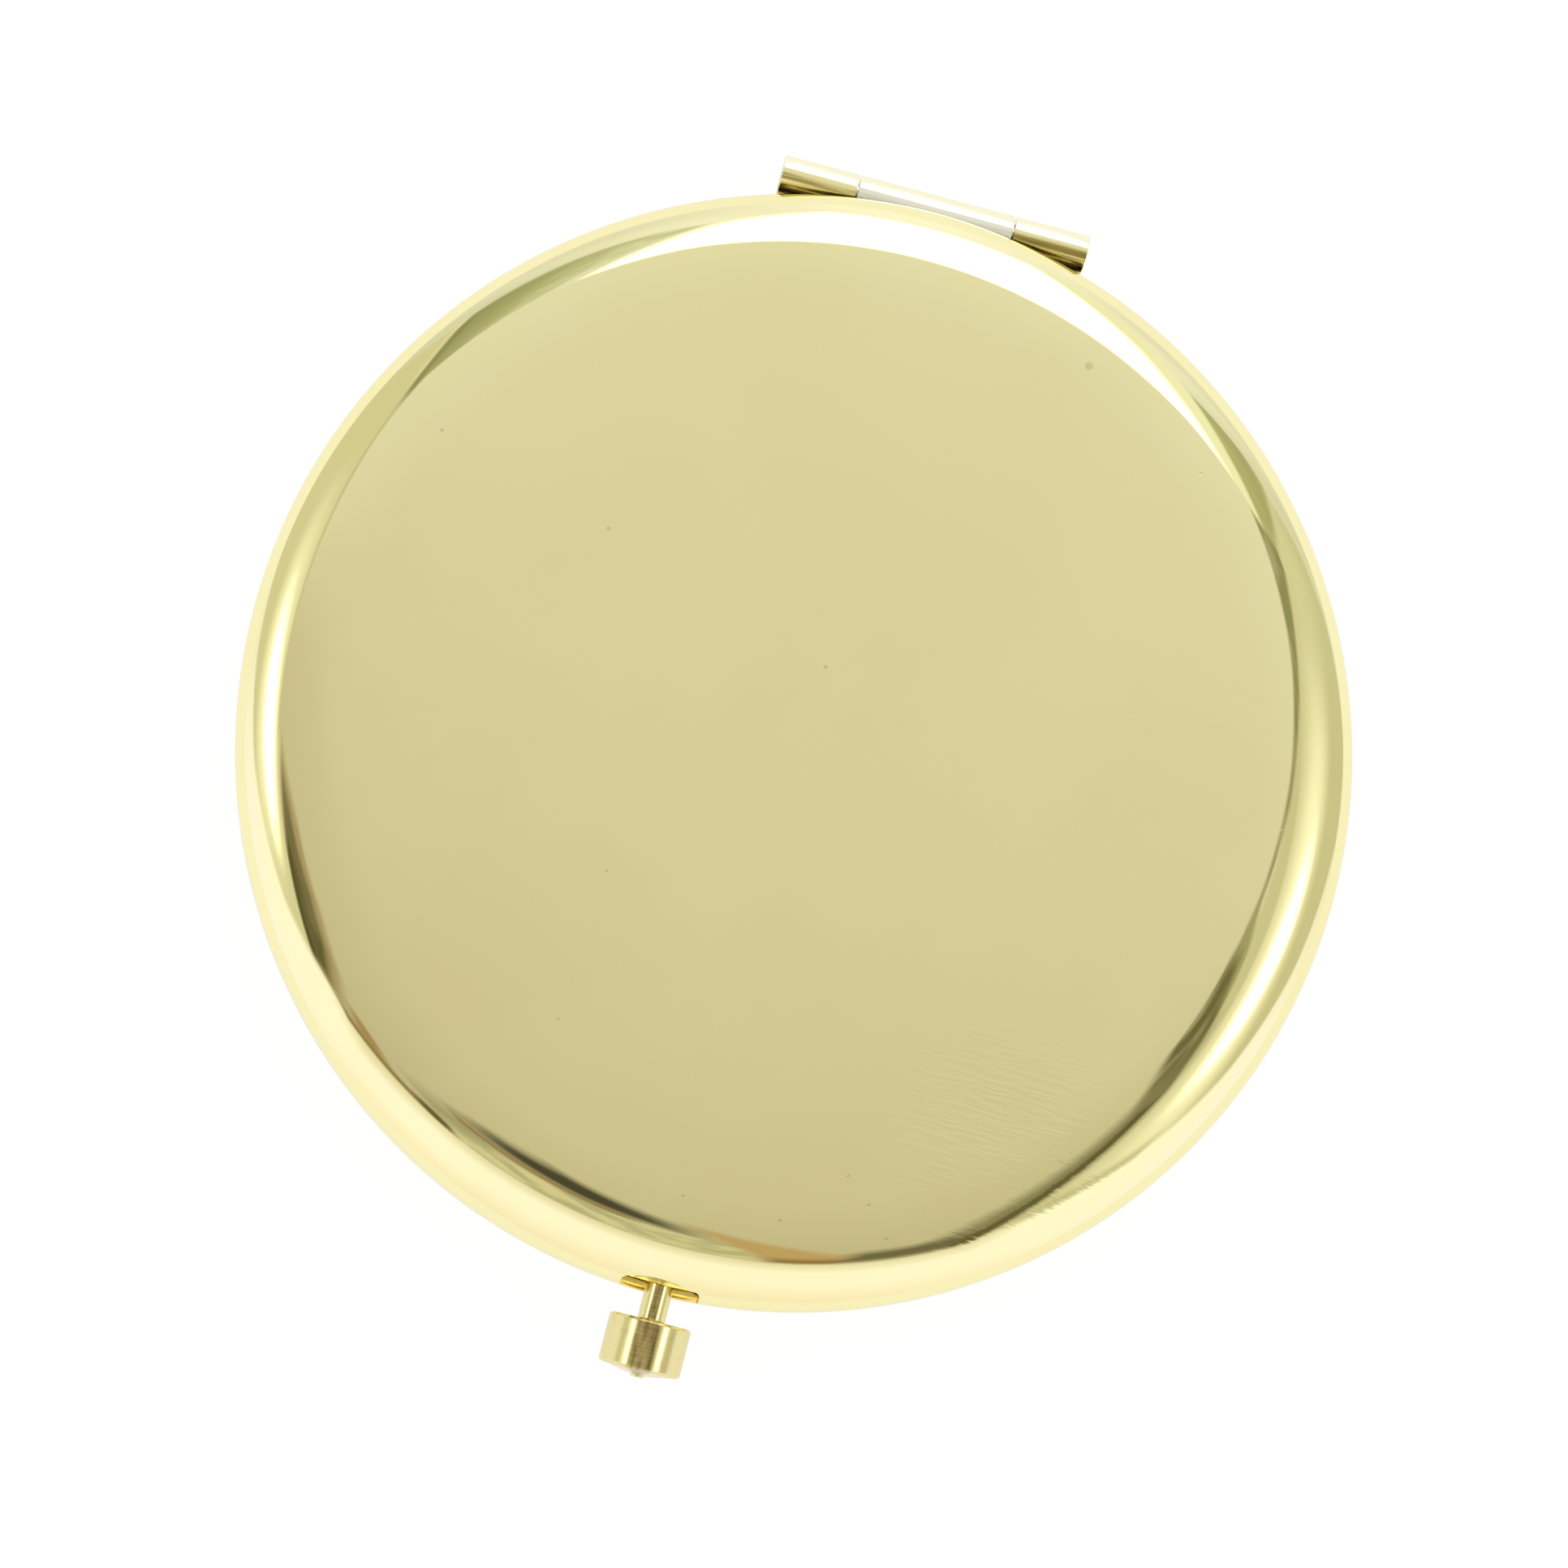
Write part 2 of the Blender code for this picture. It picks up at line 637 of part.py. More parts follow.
def stem_hole(name, radius, front_y, cutters):
    """A hole along the stem through one thickness of strip."""
    length = STRIP + 2 * SIDE_GAP
    middle = (0.0, front_y + STRIP / 2, STEM_Z)
    return as_cutter(rod(name, radius, length, STEM_STEPS, cutters, middle, TOWARDS_FRONT))


def latch_bracket(collection, cutters):
    """Bent U bracket: a guide wall for the stem, a floor with two ears, and a wall for the spring."""
    inside = BEND_RADIUS
    outside = BEND_RADIUS + STRIP
    front_wall = GUIDE_FRONT_Y + STRIP
    side = rounded(
        [
            (GUIDE_FRONT_Y, GUIDE_TOP, 0),
            (GUIDE_FRONT_Y, BRACKET_BOTTOM, outside),
            (GUIDE_REAR_Y, BRACKET_BOTTOM, outside),
            (GUIDE_REAR_Y, SLIDE_SHOULDER, 0),
            (GUIDE_REAR_FACE_Y, SLIDE_SHOULDER, 0),
            (GUIDE_REAR_FACE_Y, BRACKET_FLOOR, inside),
            (front_wall, BRACKET_FLOOR, inside),
            (front_wall, GUIDE_TOP, 0),
        ]
    )
    width = 2 * BRACKET_HALF_WIDTH
    piece = plate("latch_bracket", side, width, collection, (0.0, 0.0, 0.0), OUTLINE_YZ)
    half_span = BRACKET_HALF_WIDTH + EAR_REACH
    half_depth = EAR_DEPTH / 2
    ear_middle = (0.0, EAR_Y, BRACKET_BOTTOM + STRIP / 2)
    ear_outline = rounded(
        [
            (-half_span, -half_depth, BEND_RADIUS),
            (half_span, -half_depth, BEND_RADIUS),
            (half_span, half_depth, BEND_RADIUS),
            (-half_span, half_depth, BEND_RADIUS),
        ]
    )
    ears = as_cutter(plate("bracket_ears", ear_outline, STRIP, cutters, ear_middle))
    combine(piece, ears, "UNION")
    cut(piece, stem_hole("guide_hole", STEM_RADIUS + GUIDE_GAP, GUIDE_FRONT_Y, cutters))
    return piece


def lid_striker(collection):
    """Staple of bent strip, feet on the ring's hidden side, its bar over the slide's channel."""
    foot_bottom = CASE_HEIGHT - RING_TOP + RING_SHEET + SEAT_GAP
    foot_top = foot_bottom + STRIP
    leg_in = SLOT_HALF_WIDTH
    leg_out = SLOT_HALF_WIDTH + STRIP
    foot_end = leg_out + STRIKER_FOOT
    half = [
        (leg_in, STRIKER_BAR_BOTTOM, 0),
        (leg_in, foot_bottom, 0),
        (foot_end, foot_bottom, 0),
        (foot_end, foot_top, 0),
        (leg_out, foot_top, 0),
        (leg_out, STRIKER_BAR_TOP, BEND_RADIUS),
    ]
    other_half = [(-x, z, radius) for x, z, radius in reversed(half)]
    middle = (0.0, STRIKER_RIVET_Y, 0.0)
    outline = rounded(half + other_half)
    return plate("lid_striker", outline, STRIKER_DEPTH, collection, middle, OUTLINE_XZ)


def spring_path():
    """Points along the spring about its own axis, its ends straight for one wire's thickness."""
    length = SPRING_REAR_Y - SPRING_FRONT_Y
    coil = length - 2 * SPRING_WIRE
    turns = coil / SPRING_PITCH
    count = round(turns * CURL_POINTS)
    points = [(SPRING_RADIUS, 0.0, 0.0)]
    for step in range(count + 1):
        angle = 2 * math.pi * turns * step / count
        height = SPRING_WIRE + coil * step / count
        points.append((SPRING_RADIUS * math.cos(angle), SPRING_RADIUS * math.sin(angle), height))
    points.append((points[-1][0], points[-1][1], length))
    return points


def spring_gap(points):
    """Least gap from the wire to itself, between points that are at least half a curl apart."""
    least = math.inf
    for index, point in enumerate(points):
        for other in points[index + CURL_POINTS // 2:]:
            least = min(least, math.dist(point, other) - SPRING_WIRE)
    return least


def return_spring(collection):
    """Compression spring round the tail, one unbroken tube."""
    points = spring_path()
    print(f"return_spring: least gap to itself {spring_gap(points) * 1000:.3f} mm")
    curve = bpy.data.curves.new("return_spring", "CURVE")
    curve.dimensions = "3D"
    curve.bevel_depth = SPRING_WIRE / 2
    curve.bevel_resolution = 1
    curve.use_fill_caps = True
    spline = curve.splines.new("POLY")
    spline.points.add(len(points) - 1)
    for point, (x, y, z) in zip(spline.points, points):
        point.co = (x, y, z, 1.0)
    place = (0.0, SPRING_REAR_Y, STEM_Z)
    return mesh_from_curve("return_spring", curve, collection, place, TOWARDS_FRONT)


def washer_profile():
    """Flat washer on the tail, outwards from its rear face."""
    inner = TAIL_RADIUS + PIN_GAP
    outer = SPRING_OUTER_RADIUS
    return [(outer, WASHER_THICKNESS), (outer, 0.0), (inner, 0.0), (inner, WASHER_THICKNESS)]


def build_base(parts, cutters):
    """The half that lies on the table, with the hinge's outer knuckles and the catch's bracket."""
    shell = turned("base_shell", shell_profile(), CASE_STEPS, parts)
    pad = turned("base_backing_pad", base_pad_profile(), CASE_STEPS, parts)
    glass = turned("base_mirror", glass_profile(MAGNIFYING_SAG), CASE_STEPS, parts)
    ring = turned("base_bezel_ring", ring_profile(), CASE_STEPS, parts)
    cut(shell, hinge_notch("base_hinge_notch", cutters))
    cut(ring, ring_chord("base_ring_chord", cutters))
    length = OUTER_KNUCKLE_LENGTH
    left = knuckle("base_hinge_knuckle_left", -OUTER_KNUCKLE_X, length, -1, parts)
    right = knuckle("base_hinge_knuckle_right", OUTER_KNUCKLE_X, length, -1, parts)
    pin_place = (0.0, HINGE_Y, PARTING_Z)
    pin = turned("hinge_pin", pin_profile(), PIN_STEPS, parts, pin_place, ALONG_X)
    bracket = latch_bracket(parts, cutters)
    clamp_bottom = RING_TOP - RING_SHEET
    leaves = [ring, left, right]
    leaf_rivets = rivet_pair(
        "base_hinge_rivet", OUTER_KNUCKLE_X, LEAF_RIVET_Y, clamp_bottom, HALF_HEIGHT, parts, cutters, leaves
    )
    ears = [ring, bracket]
    ear_rivets = rivet_pair(
        "bracket_rivet", EAR_RIVET_X, EAR_Y, clamp_bottom, BRACKET_FLOOR, parts, cutters, ears
    )
    spring = return_spring(parts)
    settle(shell, "polished_gold")
    settle(pad, "foam")
    settle(glass, "silvered_glass")
    settle(ring, "ring_gold")
    settle(left, "polished_gold")
    settle(right, "polished_gold")
    settle(bracket, "brass")
    for piece in [pin, spring] + leaf_rivets + ear_rivets:
        settle(piece, "steel")


def build_lid(parts, cutters):
    """The half that opens, with the hinge's middle knuckle and the catch's striker."""
    shell = turned("lid_shell", overturned(shell_profile()), CASE_STEPS, parts)
    pad = turned("lid_backing_pad", overturned(lid_pad_profile()), CASE_STEPS, parts)
    glass = turned("lid_mirror", overturned(glass_profile(0.0)), CASE_STEPS, parts)
    ring = turned("lid_bezel_ring", overturned(ring_profile()), CASE_STEPS, parts)
    cut(shell, hinge_notch("lid_hinge_notch", cutters))
    cut(shell, stem_notch("lid_stem_notch", cutters))
    cut(ring, ring_chord("lid_ring_chord", cutters))
    cut(ring, catch_slot("lid_catch_slot", cutters))
    leaf = knuckle("lid_hinge_knuckle", 0.0, MIDDLE_KNUCKLE_LENGTH, 1, parts)
    striker = lid_striker(parts)
    clamp_top = CASE_HEIGHT - RING_TOP + RING_SHEET
    leaf_bottom = HALF_HEIGHT + RIM_GAP
    held = [ring, leaf]
    leaf_rivets = rivet_pair(
        "lid_hinge_rivet", MIDDLE_RIVET_OFFSET, LEAF_RIVET_Y, leaf_bottom, clamp_top, parts, cutters, held
    )
    foot_top = clamp_top + SEAT_GAP + STRIP
    ring_face = CASE_HEIGHT - RING_TOP
    clamped = [ring, striker]
    foot_rivets = rivet_pair(
        "striker_rivet", STRIKER_RIVET_X, STRIKER_RIVET_Y, ring_face, foot_top, parts, cutters, clamped
    )
    settle(shell, "polished_gold")
    settle(pad, "foam")
    settle(glass, "silvered_glass")
    settle(ring, "ring_gold")
    settle(leaf, "polished_gold")
    settle(striker, "brass")
    for piece in leaf_rivets + foot_rivets:
        settle(piece, "steel")
    axis = moving_axis("lid_hinge_axis", (0.0, HINGE_Y, PARTING_Z), parts)
    hang([shell, pad, glass, ring, leaf, striker] + leaf_rivets + foot_rivets, axis)


def build_button(parts, cutters):
    """What slides when the button is pressed."""
    edge = (0.0, -CASE_RADIUS, STEM_Z)
    button = turned("push_button", button_profile(), STEM_STEPS, parts, edge, TOWARDS_FRONT)
    slide = latch_slide(parts, cutters)
    washer_place = (0.0, WASHER_Y + WASHER_THICKNESS, STEM_Z)
    washer = turned("spring_washer", washer_profile(), STEM_STEPS, parts, washer_place, TOWARDS_FRONT)
    settle(button, "polished_gold")
    settle(slide, "brass")
    settle(washer, "steel")
    axis = moving_axis("button_axis", edge, parts)
    hang((button, slide, washer), axis)


def main():
    for old in list(bpy.data.objects):
        bpy.data.objects.remove(old)
    parts = new_collection("pocket_mirror")
    cutters = new_collection("cutters")
    build_base(parts, cutters)
    build_lid(parts, cutters)
    build_button(parts, cutters)
    print(f"case {CASE_HEIGHT * 1000:.2f} mm high, {2 * CASE_RADIUS * 1000:.1f} mm across")
    for piece in sorted(parts.objects, key=lambda each: each.name):
        if piece.type == "MESH":
            piece.data.calc_loop_triangles()
            print(f"{piece.name}: {len(piece.data.loop_triangles)} triangles")


main()
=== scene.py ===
# %% [markdown]
# # A pocket mirror
# The real object is a round case of two stamped and plated pans, held by a rolled hinge and a
# push-button catch, with a mirror in each half. It is shown shut, from above.
# The engineering solids are loaded first and never change. Every visible piece is then made
# finer here, in the same place, and given its own metal, glass or foam.

import math

import bmesh
import bpy
from mathutils import Matrix, Vector


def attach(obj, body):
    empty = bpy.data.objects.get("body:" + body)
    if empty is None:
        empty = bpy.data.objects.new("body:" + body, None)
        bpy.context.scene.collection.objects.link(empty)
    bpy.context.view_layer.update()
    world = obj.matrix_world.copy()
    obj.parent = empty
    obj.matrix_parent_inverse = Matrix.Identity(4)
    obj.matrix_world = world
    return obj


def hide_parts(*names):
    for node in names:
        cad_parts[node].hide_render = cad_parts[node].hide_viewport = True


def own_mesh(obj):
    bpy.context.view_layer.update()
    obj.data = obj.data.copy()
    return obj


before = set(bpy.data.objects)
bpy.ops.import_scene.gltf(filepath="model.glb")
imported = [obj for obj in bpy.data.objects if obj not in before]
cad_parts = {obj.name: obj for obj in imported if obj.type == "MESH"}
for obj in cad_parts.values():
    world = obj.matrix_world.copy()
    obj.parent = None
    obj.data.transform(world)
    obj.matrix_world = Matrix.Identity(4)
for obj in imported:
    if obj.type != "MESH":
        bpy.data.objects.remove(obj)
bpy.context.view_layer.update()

# %% [markdown]
# ## Sizes
# The sizes repeat those of the solids, in millimetres, because this script reads no other file.
# Heights are measured from the table, and the lid is the base turned over about the parting plane.

# %% Sizes of the real object
MM = 0.001
CASE_RADIUS = 35.0 * MM
FACE_RADIUS = 29.0 * MM
SHEET = 0.5 * MM
SHOULDER_WIDTH = 6.0 * MM
SHOULDER_HEIGHT = 3.0 * MM
HALF_HEIGHT = 4.3 * MM
CASE_HEIGHT = 8.9 * MM
PARTING_Z = CASE_HEIGHT / 2
GLASS_RADIUS = 28.0 * MM
GLASS_TOP = 2.8 * MM
GLASS_THICKNESS = 1.2 * MM
HINGE_Y = 35.1 * MM
STEM_Z = 5.55 * MM
print("case", 2 * CASE_RADIUS / MM, "mm across and", CASE_HEIGHT / MM, "mm high")

# %% [markdown]
# ## Camera
# The photograph looks almost straight down, with a long lens, and the case lies turned by 15
# degrees. The place, the aim and the lens were fitted to the outline, the hinge and the button.
# A camera looks along its own -Z with its own +Y up, so the turn is built from those axes.

# %% Set the camera
camera_data = bpy.data.cameras.new("camera")
camera_data.lens = 163.4
camera_data.sensor_width = 36.0
camera_data.clip_start = 0.01
camera_data.clip_end = 20.0
camera = bpy.data.objects.new("camera", camera_data)
bpy.context.scene.collection.objects.link(camera)
camera_place = Vector((-29.1, -36.6, 447.6)) * MM
camera_aim = Vector((-0.21, -2.12, 4.45)) * MM
camera_up = Vector((-0.2529, 0.9657, 0.0587))
back = (camera_place - camera_aim).normalized()
right = camera_up.cross(back).normalized()
turn = Matrix((right, back.cross(right), back)).transposed()
camera.matrix_world = Matrix.Translation(camera_place) @ turn.to_4x4()
bpy.context.scene.camera = camera
bpy.context.scene.view_settings.view_transform = "Standard"
print("camera", round((camera_place - camera_aim).length / MM), "mm from the case")

# %% [markdown]
# ## Sums on sockets
# A finish is a small sum: a noise times a strength, one minus a mask. Written with nodes it is
# long, so a socket is wrapped in a class whose + - * / and ** add the Math nodes.
# Every other node comes from one method, which sets the node's own choices before its sockets.

# %% A socket that takes part in sums
class Wire:
    """One output socket of a tree, used in Python sums."""

    def __init__(self, tree, socket):
        self.tree = tree
        self.socket = socket

    def sum(self, operation, *values):
        return self.tree.add("ShaderNodeMath", {"operation": operation}, dict(enumerate(values)))

    def __add__(self, other):
        return self.sum("ADD", self, other)

    def __sub__(self, other):
        return self.sum("SUBTRACT", self, other)

    def __rsub__(self, other):
        return self.sum("SUBTRACT", other, self)

    def __mul__(self, other):
        return self.sum("MULTIPLY", self, other)

    def __truediv__(self, other):
        return self.sum("DIVIDE", self, other)

    def __rtruediv__(self, other):
        return self.sum("DIVIDE", other, self)

    def __pow__(self, other):
        return self.sum("POWER", self, other)

    def __rpow__(self, other):
        return self.sum("POWER", other, self)

    __radd__ = __add__
    __rmul__ = __mul__

    def at_least(self, other):
        return self.sum("MAXIMUM", self, other)

    def at_most(self, other):
        return self.sum("MINIMUM", self, other)

    def clamped(self):
        return self.at_least(0.0).at_most(1.0)

    def eased(self, start, end):
        """0 at start and 1 at end, with a soft S between."""
        settings = {"interpolation_type": "SMOOTHSTEP"}
        return self.tree.add("ShaderNodeMapRange", settings, {"Value": self, 1: start, 2: end})

    def output(self, name):
        """Another output of the same node."""
        return Wire(self.tree, self.socket.node.outputs[name])


class Tree:
    """A node tree, and the one way that nodes are added to it."""

    def __init__(self, nodes_of):
        self.nodes = nodes_of.nodes
        self.links = nodes_of.links

    def add(self, kind, settings=None, sockets=None, output=0):
        """Adds a node and gives back one of its outputs. A tree's last node has none."""
        node = self.nodes.new(kind)
        for key, value in (settings or {}).items():
            if key == "stops":
                self.set_stops(node.color_ramp, value)
            else:
                setattr(node, key, value)
        for key, value in (sockets or {}).items():
            if isinstance(value, Wire):
                self.links.new(value.socket, node.inputs[key])
            else:
                node.inputs[key].default_value = value
        return Wire(self, node.outputs[output]) if node.outputs else None

    def set_stops(self, ramp, stops):
        while len(ramp.elements) < len(stops):
            ramp.elements.new(0.5)
        for element, (place, colour) in zip(ramp.elements, stops):
            element.position = place
            element.color = (*colour, 1.0)

    def mix(self, mask, below, above):
        """One colour over another, by a mask."""
        below = below if isinstance(below, Wire) else (*below, 1.0)
        above = above if isinstance(above, Wire) else (*above, 1.0)
        return self.add("ShaderNodeMix", {"data_type": "RGBA"}, {0: mask, 6: below, 7: above}, 2)

    def parts(self, vector):
        """The x, y and z of a vector."""
        split = self.add("ShaderNodeSeparateXYZ", None, {0: vector})
        return split, split.output("Y"), split.output("Z")


print("helpers:", Wire.__name__, Tree.__name__)

# %% [markdown]
# ## What the polished lid sees
# A mirror-bright lid has hardly a look of its own: it shows the studio. Such things are
# photographed in a white tent, with a bright card behind, a lamp on each side and a grey top.
# Real cards could stand round the case, but they would block other views. So the studio is drawn
# into the world: a direction is measured in degrees from straight up, u to +X and v to +Y, and
# each card is a soft-edged outline in those degrees.

# %% Directions in degrees
world = bpy.data.worlds.new("studio_tent")
world.use_nodes = True
world.node_tree.nodes.clear()
bpy.context.scene.world = world
tent = Tree(world.node_tree)
towards = tent.add("ShaderNodeTexCoord", output="Object")
towards_x, towards_y, towards_z = tent.parts(towards)
from_zenith = tent.add("ShaderNodeMath", {"operation": "ARCCOSINE"}, {0: towards_z}) * math.degrees(1)
level_length = ((towards_x * towards_x + towards_y * towards_y) ** 0.5).at_least(0.00001)
u = towards_x / level_length * from_zenith
v = towards_y / level_length * from_zenith
direction = tent.add("ShaderNodeCombineXYZ", None, {0: u, 1: v, 2: 1.0})


def card(corners, softness):
    """1 inside a convex outline of directions, drawn anticlockwise, and 0 outside."""
    least = None
    for (u0, v0), (u1, v1) in zip(corners, corners[1:] + corners[:1]):
        side = math.hypot(u1 - u0, v1 - v0)
        across = ((v0 - v1) / side, (u1 - u0) / side)
        edge = (*across, -(u0 * across[0] + v0 * across[1]))
        sockets = {0: direction, 1: edge}
        depth = tent.add("ShaderNodeVectorMath", {"operation": "DOT_PRODUCT"}, sockets, "Value")
        least = depth if least is None else least.at_most(depth)
    return (least / softness + 0.5).clamped()


def strip(start, end, width, softness=1.0):
    """A narrow band of directions from one to another."""
    length = math.hypot(end[0] - start[0], end[1] - start[1])
    across = ((end[1] - start[1]) / length * width / 2, (start[0] - end[0]) / length * width / 2)
    return card(
        [
            (start[0] - across[0], start[1] - across[1]),
            (start[0] + across[0], start[1] + across[1]),
            (end[0] + across[0], end[1] + across[1]),
            (end[0] - across[0], end[1] - across[1]),
        ],
        softness,
    )


def glow(centre, radii, softness, lean=0.0):
    """A soft oval spot of directions, leaning by some degrees from upright."""
    c = math.cos(math.radians(lean))
    s = math.sin(math.radians(lean))
    across = ((u - centre[0]) * c + (v - centre[1]) * s) / radii[0]
    along = ((v - centre[1]) * c - (u - centre[0]) * s) / radii[1]
    return ((across ** 2 + along ** 2) ** 0.5).eased(1 + softness, 1 - softness)


def ramp(value, stops):
    """A colour that changes along a value from 0 to 1."""
    return tent.add("ShaderNodeValToRGB", {"stops": stops}, {0: value})


print("nodes that work out directions:", len(world.node_tree.nodes))

# %% [markdown]
# ## Cards and lamps
# They are laid one over the other from the back to the front. First come the tent walls, which
# are brightest in front, and a big soft lamp on each side with its hot middle.

# %% Draw the walls and the lamps
WHITE = (2.2, 2.2, 2.2)
RIGHT_CLOTH = (0.61, 0.60, 0.47)
studio = ramp(
    (v + 100.0) / 200.0,
    [
        (0.0, (0.93, 0.88, 0.86)), (0.12, (0.98, 0.92, 0.90)), (0.25, (1.04, 1.03, 1.12)),
        (0.40, (1.03, 1.03, 1.10)), (0.50, (0.94, 0.93, 0.98)), (0.65, (0.84, 0.84, 0.86)),
        (0.77, (0.70, 0.71, 0.71)), (0.81, (0.77, 0.78, 0.79)), (1.0, (0.82, 0.81, 0.92)),
    ],
)
studio = tent.mix(glow((2, 86), (24, 28), 0.95), studio, (1.03, 1.03, 1.12))
studio = tent.mix(glow((3, 60), (32, 9), 0.95), studio, (0.98, 1.0, 1.06))
front_sides = (u * u).eased(2000.0, 7500.0) * v.eased(0.0, -25.0)
studio = tent.mix(front_sides, studio, (1.03, 1.0, 1.24))
LAMPS = [
    (
        [(-50, 49), (-72, 50), (-88, 40), (-89, 18), (-80, 0),
         (-66, -14), (-46, -25), (-34, -26), (-34, 22), (-43, 37)],
        (0.67, 0.66, 0.52), ((-50.6, -2.0), (9.6, 14.2), 3.0), ((-46.8, -4.6), (4.6, 8.6), 20.0),
    ),
    (
        [(49, 47), (31, 20), (25, -29), (36, -26), (50, -21), (60, -17),
         (75, -6), (87, 14), (86, 30), (74, 44), (60, 48)],
        RIGHT_CLOTH, ((43.5, -0.8), (9.2, 19.6), -12.0), ((43.9, -1.9), (4.05, 8.2), -33.0),
    ),
]
for outline, colour, (centre, radii, lean), (hot_centre, hot_radii, hot_lean) in LAMPS:
    studio = tent.mix(card(outline, 3.0), studio, colour)
    studio = tent.mix(glow(centre, radii, 0.98, lean), studio, (1.15, 1.14, 1.08))
    studio = tent.mix(glow(hot_centre, hot_radii, 0.97, hot_lean), studio, (3.2, 3.0, 3.0))
studio = tent.mix(glow((45, 35), (11, 10), 0.9), studio, (0.68, 0.675, 0.55))
print("lamps:", len(LAMPS))

# %% [markdown]
# Behind stands a white card between two darker folds of the tent. The grey top lies over all of
# them and falls off slowly towards the front. The noise keeps the folds from looking drawn.

# %% Draw the back and the top
def unevenness(scale, detail):
    """Noise over the directions, from 0 to 1."""
    return tent.add("ShaderNodeTexNoise", None, {"Vector": towards, "Scale": scale, "Detail": detail})


mottle = unevenness(16.0, 2.0).eased(0.36, 0.60)
slow_mottle = unevenness(7.0, 1.0).eased(0.4, 0.6)
fold = ramp(
    (u + 50.0) / 100.0,
    [
        (0.0, (0.30, 0.31, 0.19)), (0.09, (0.35, 0.36, 0.22)), (0.15, (0.42, 0.43, 0.28)),
        (0.20, (0.52, 0.55, 0.40)), (0.26, (0.72, 0.76, 0.66)), (0.84, (0.50, 0.51, 0.33)),
        (0.93, (0.41, 0.42, 0.26)), (0.98, (0.50, 0.51, 0.35)),
    ],
)
fold = tent.mix(mottle * 0.3, fold, (0.37, 0.38, 0.23))
left_fold = [(-18.5, 57.5), (-36, 54.4), (-50.5, 50.4), (-49.2, 45), (-40.2, 28), (-38, 26), (-26, 31)]
folds = [
    (strip((-51.5, 49), (-43.3, 33), 2.6, 1.8) * 0.6, (0.82, 0.83, 0.76)),
    (card(left_fold, 1.8), fold),
    (strip((-49, 51.5), (-24, 56.0), 3.0, 3.0) * 0.4, (0.56, 0.57, 0.50)),
    (strip((-47.6, 46.5), (-39.4, 28), 2.2, 1.8) * 0.7, (0.25, 0.26, 0.155)),
    (strip((-39.7, 28), (-36.6, -4), 1.8, 1.8) * 0.8, (0.52, 0.53, 0.38)),
    (card([(33.6, 51.6), (33.6, 29), (36.4, 26.4), (43.0, 37.8), (50.5, 48.4), (46, 51.6)], 1.8), fold),
]
for mask, colour in folds:
    studio = tent.mix(mask, studio, colour)
back_card = card([(-27.4, 33), (33.8, 30), (34.4, 52), (28, 72), (-20, 74), (-18.4, 57), (-24.6, 46)], 2.0)
studio = tent.mix(back_card, studio, (0.90, 0.915, 0.83))
back_light = card([(-26.6, 30), (28.2, 30), (26, 52), (18, 71), (-14, 72), (-16.6, 57), (-23.2, 46)], 3.6)
studio = tent.mix(back_light, studio, WHITE)
front_fall = card([(-30, -24), (-30, -34), (30, -34), (30, -24)], 8.0)
studio = tent.mix(front_fall * 0.9, studio, (0.76, 0.72, 0.60))
top = ramp(
    (v + u * 0.12 + 24.0) / 60.0,
    [
        (0.0, (0.55, 0.52, 0.435)), (0.33, (0.605, 0.575, 0.49)), (0.40, (0.63, 0.60, 0.52)),
        (0.47, (0.685, 0.66, 0.60)), (0.54, (0.725, 0.70, 0.65)), (0.64, (0.745, 0.735, 0.69)),
        (1.0, (0.79, 0.78, 0.74)),
    ],
)
top_outline = [
    (-37.5, 29.5), (-38, 20), (-36.5, 0), (-35, -24), (-28, -28), (-14, -30), (27, -30),
    (31.8, 30.6), (24, 33.8), (12, 35.5), (-12, 36.8), (-25, 35.3),
]
studio = tent.mix(card(top_outline, 1.0), studio, top)
lamp_side = card([(31.5, 17), (27.5, 10), (20.5, 2.5), (26.8, -7), (29.5, -7), (31.5, 2)], 1.2)
studio = tent.mix(lamp_side, studio, RIGHT_CLOTH)
print("top outline:", len(top_outline), "corners")

# %% [markdown]
# Last come the dark strips beside the top and the plain stands in front of it, which give the
# metal its lines.

# %% Draw the dark strips
DARK = (0.155, 0.145, 0.075)
OLIVE = (0.28, 0.28, 0.16)
DARK_LINE = [
    [(31.3, 30), (30.4, 21), (33.9, 20), (38.6, 29), (38, 31)],
    [(30.7, 24), (28.6, 14.5), (31.0, 14.0), (34.6, 21.5), (34.6, 24)],
    [(29.2, 16.5), (24.6, 7.8), (26.8, 8.2), (31.4, 15.0), (31.4, 16.5)],
    [(25.6, 9.2), (18.2, 1.6), (20.5, 2.2), (27.2, 8.6), (27.2, 9.2)],
]
right_line = card(DARK_LINE[0], 1.2)
for outline in DARK_LINE[1:]:
    right_line = right_line.at_least(card(outline, 1.2))
right_shade = [(17.4, 1.0), (21.4, -1.2), (26.4, -4), (24.8, 1.2), (21.8, 3.6), (19, 3.0)]
right_wedge = [(16.2, -0.9), (21, -5.8), (26.0, -10), (27.4, -8), (25.8, -2.6), (22.2, 1.2), (17.4, 2.0)]
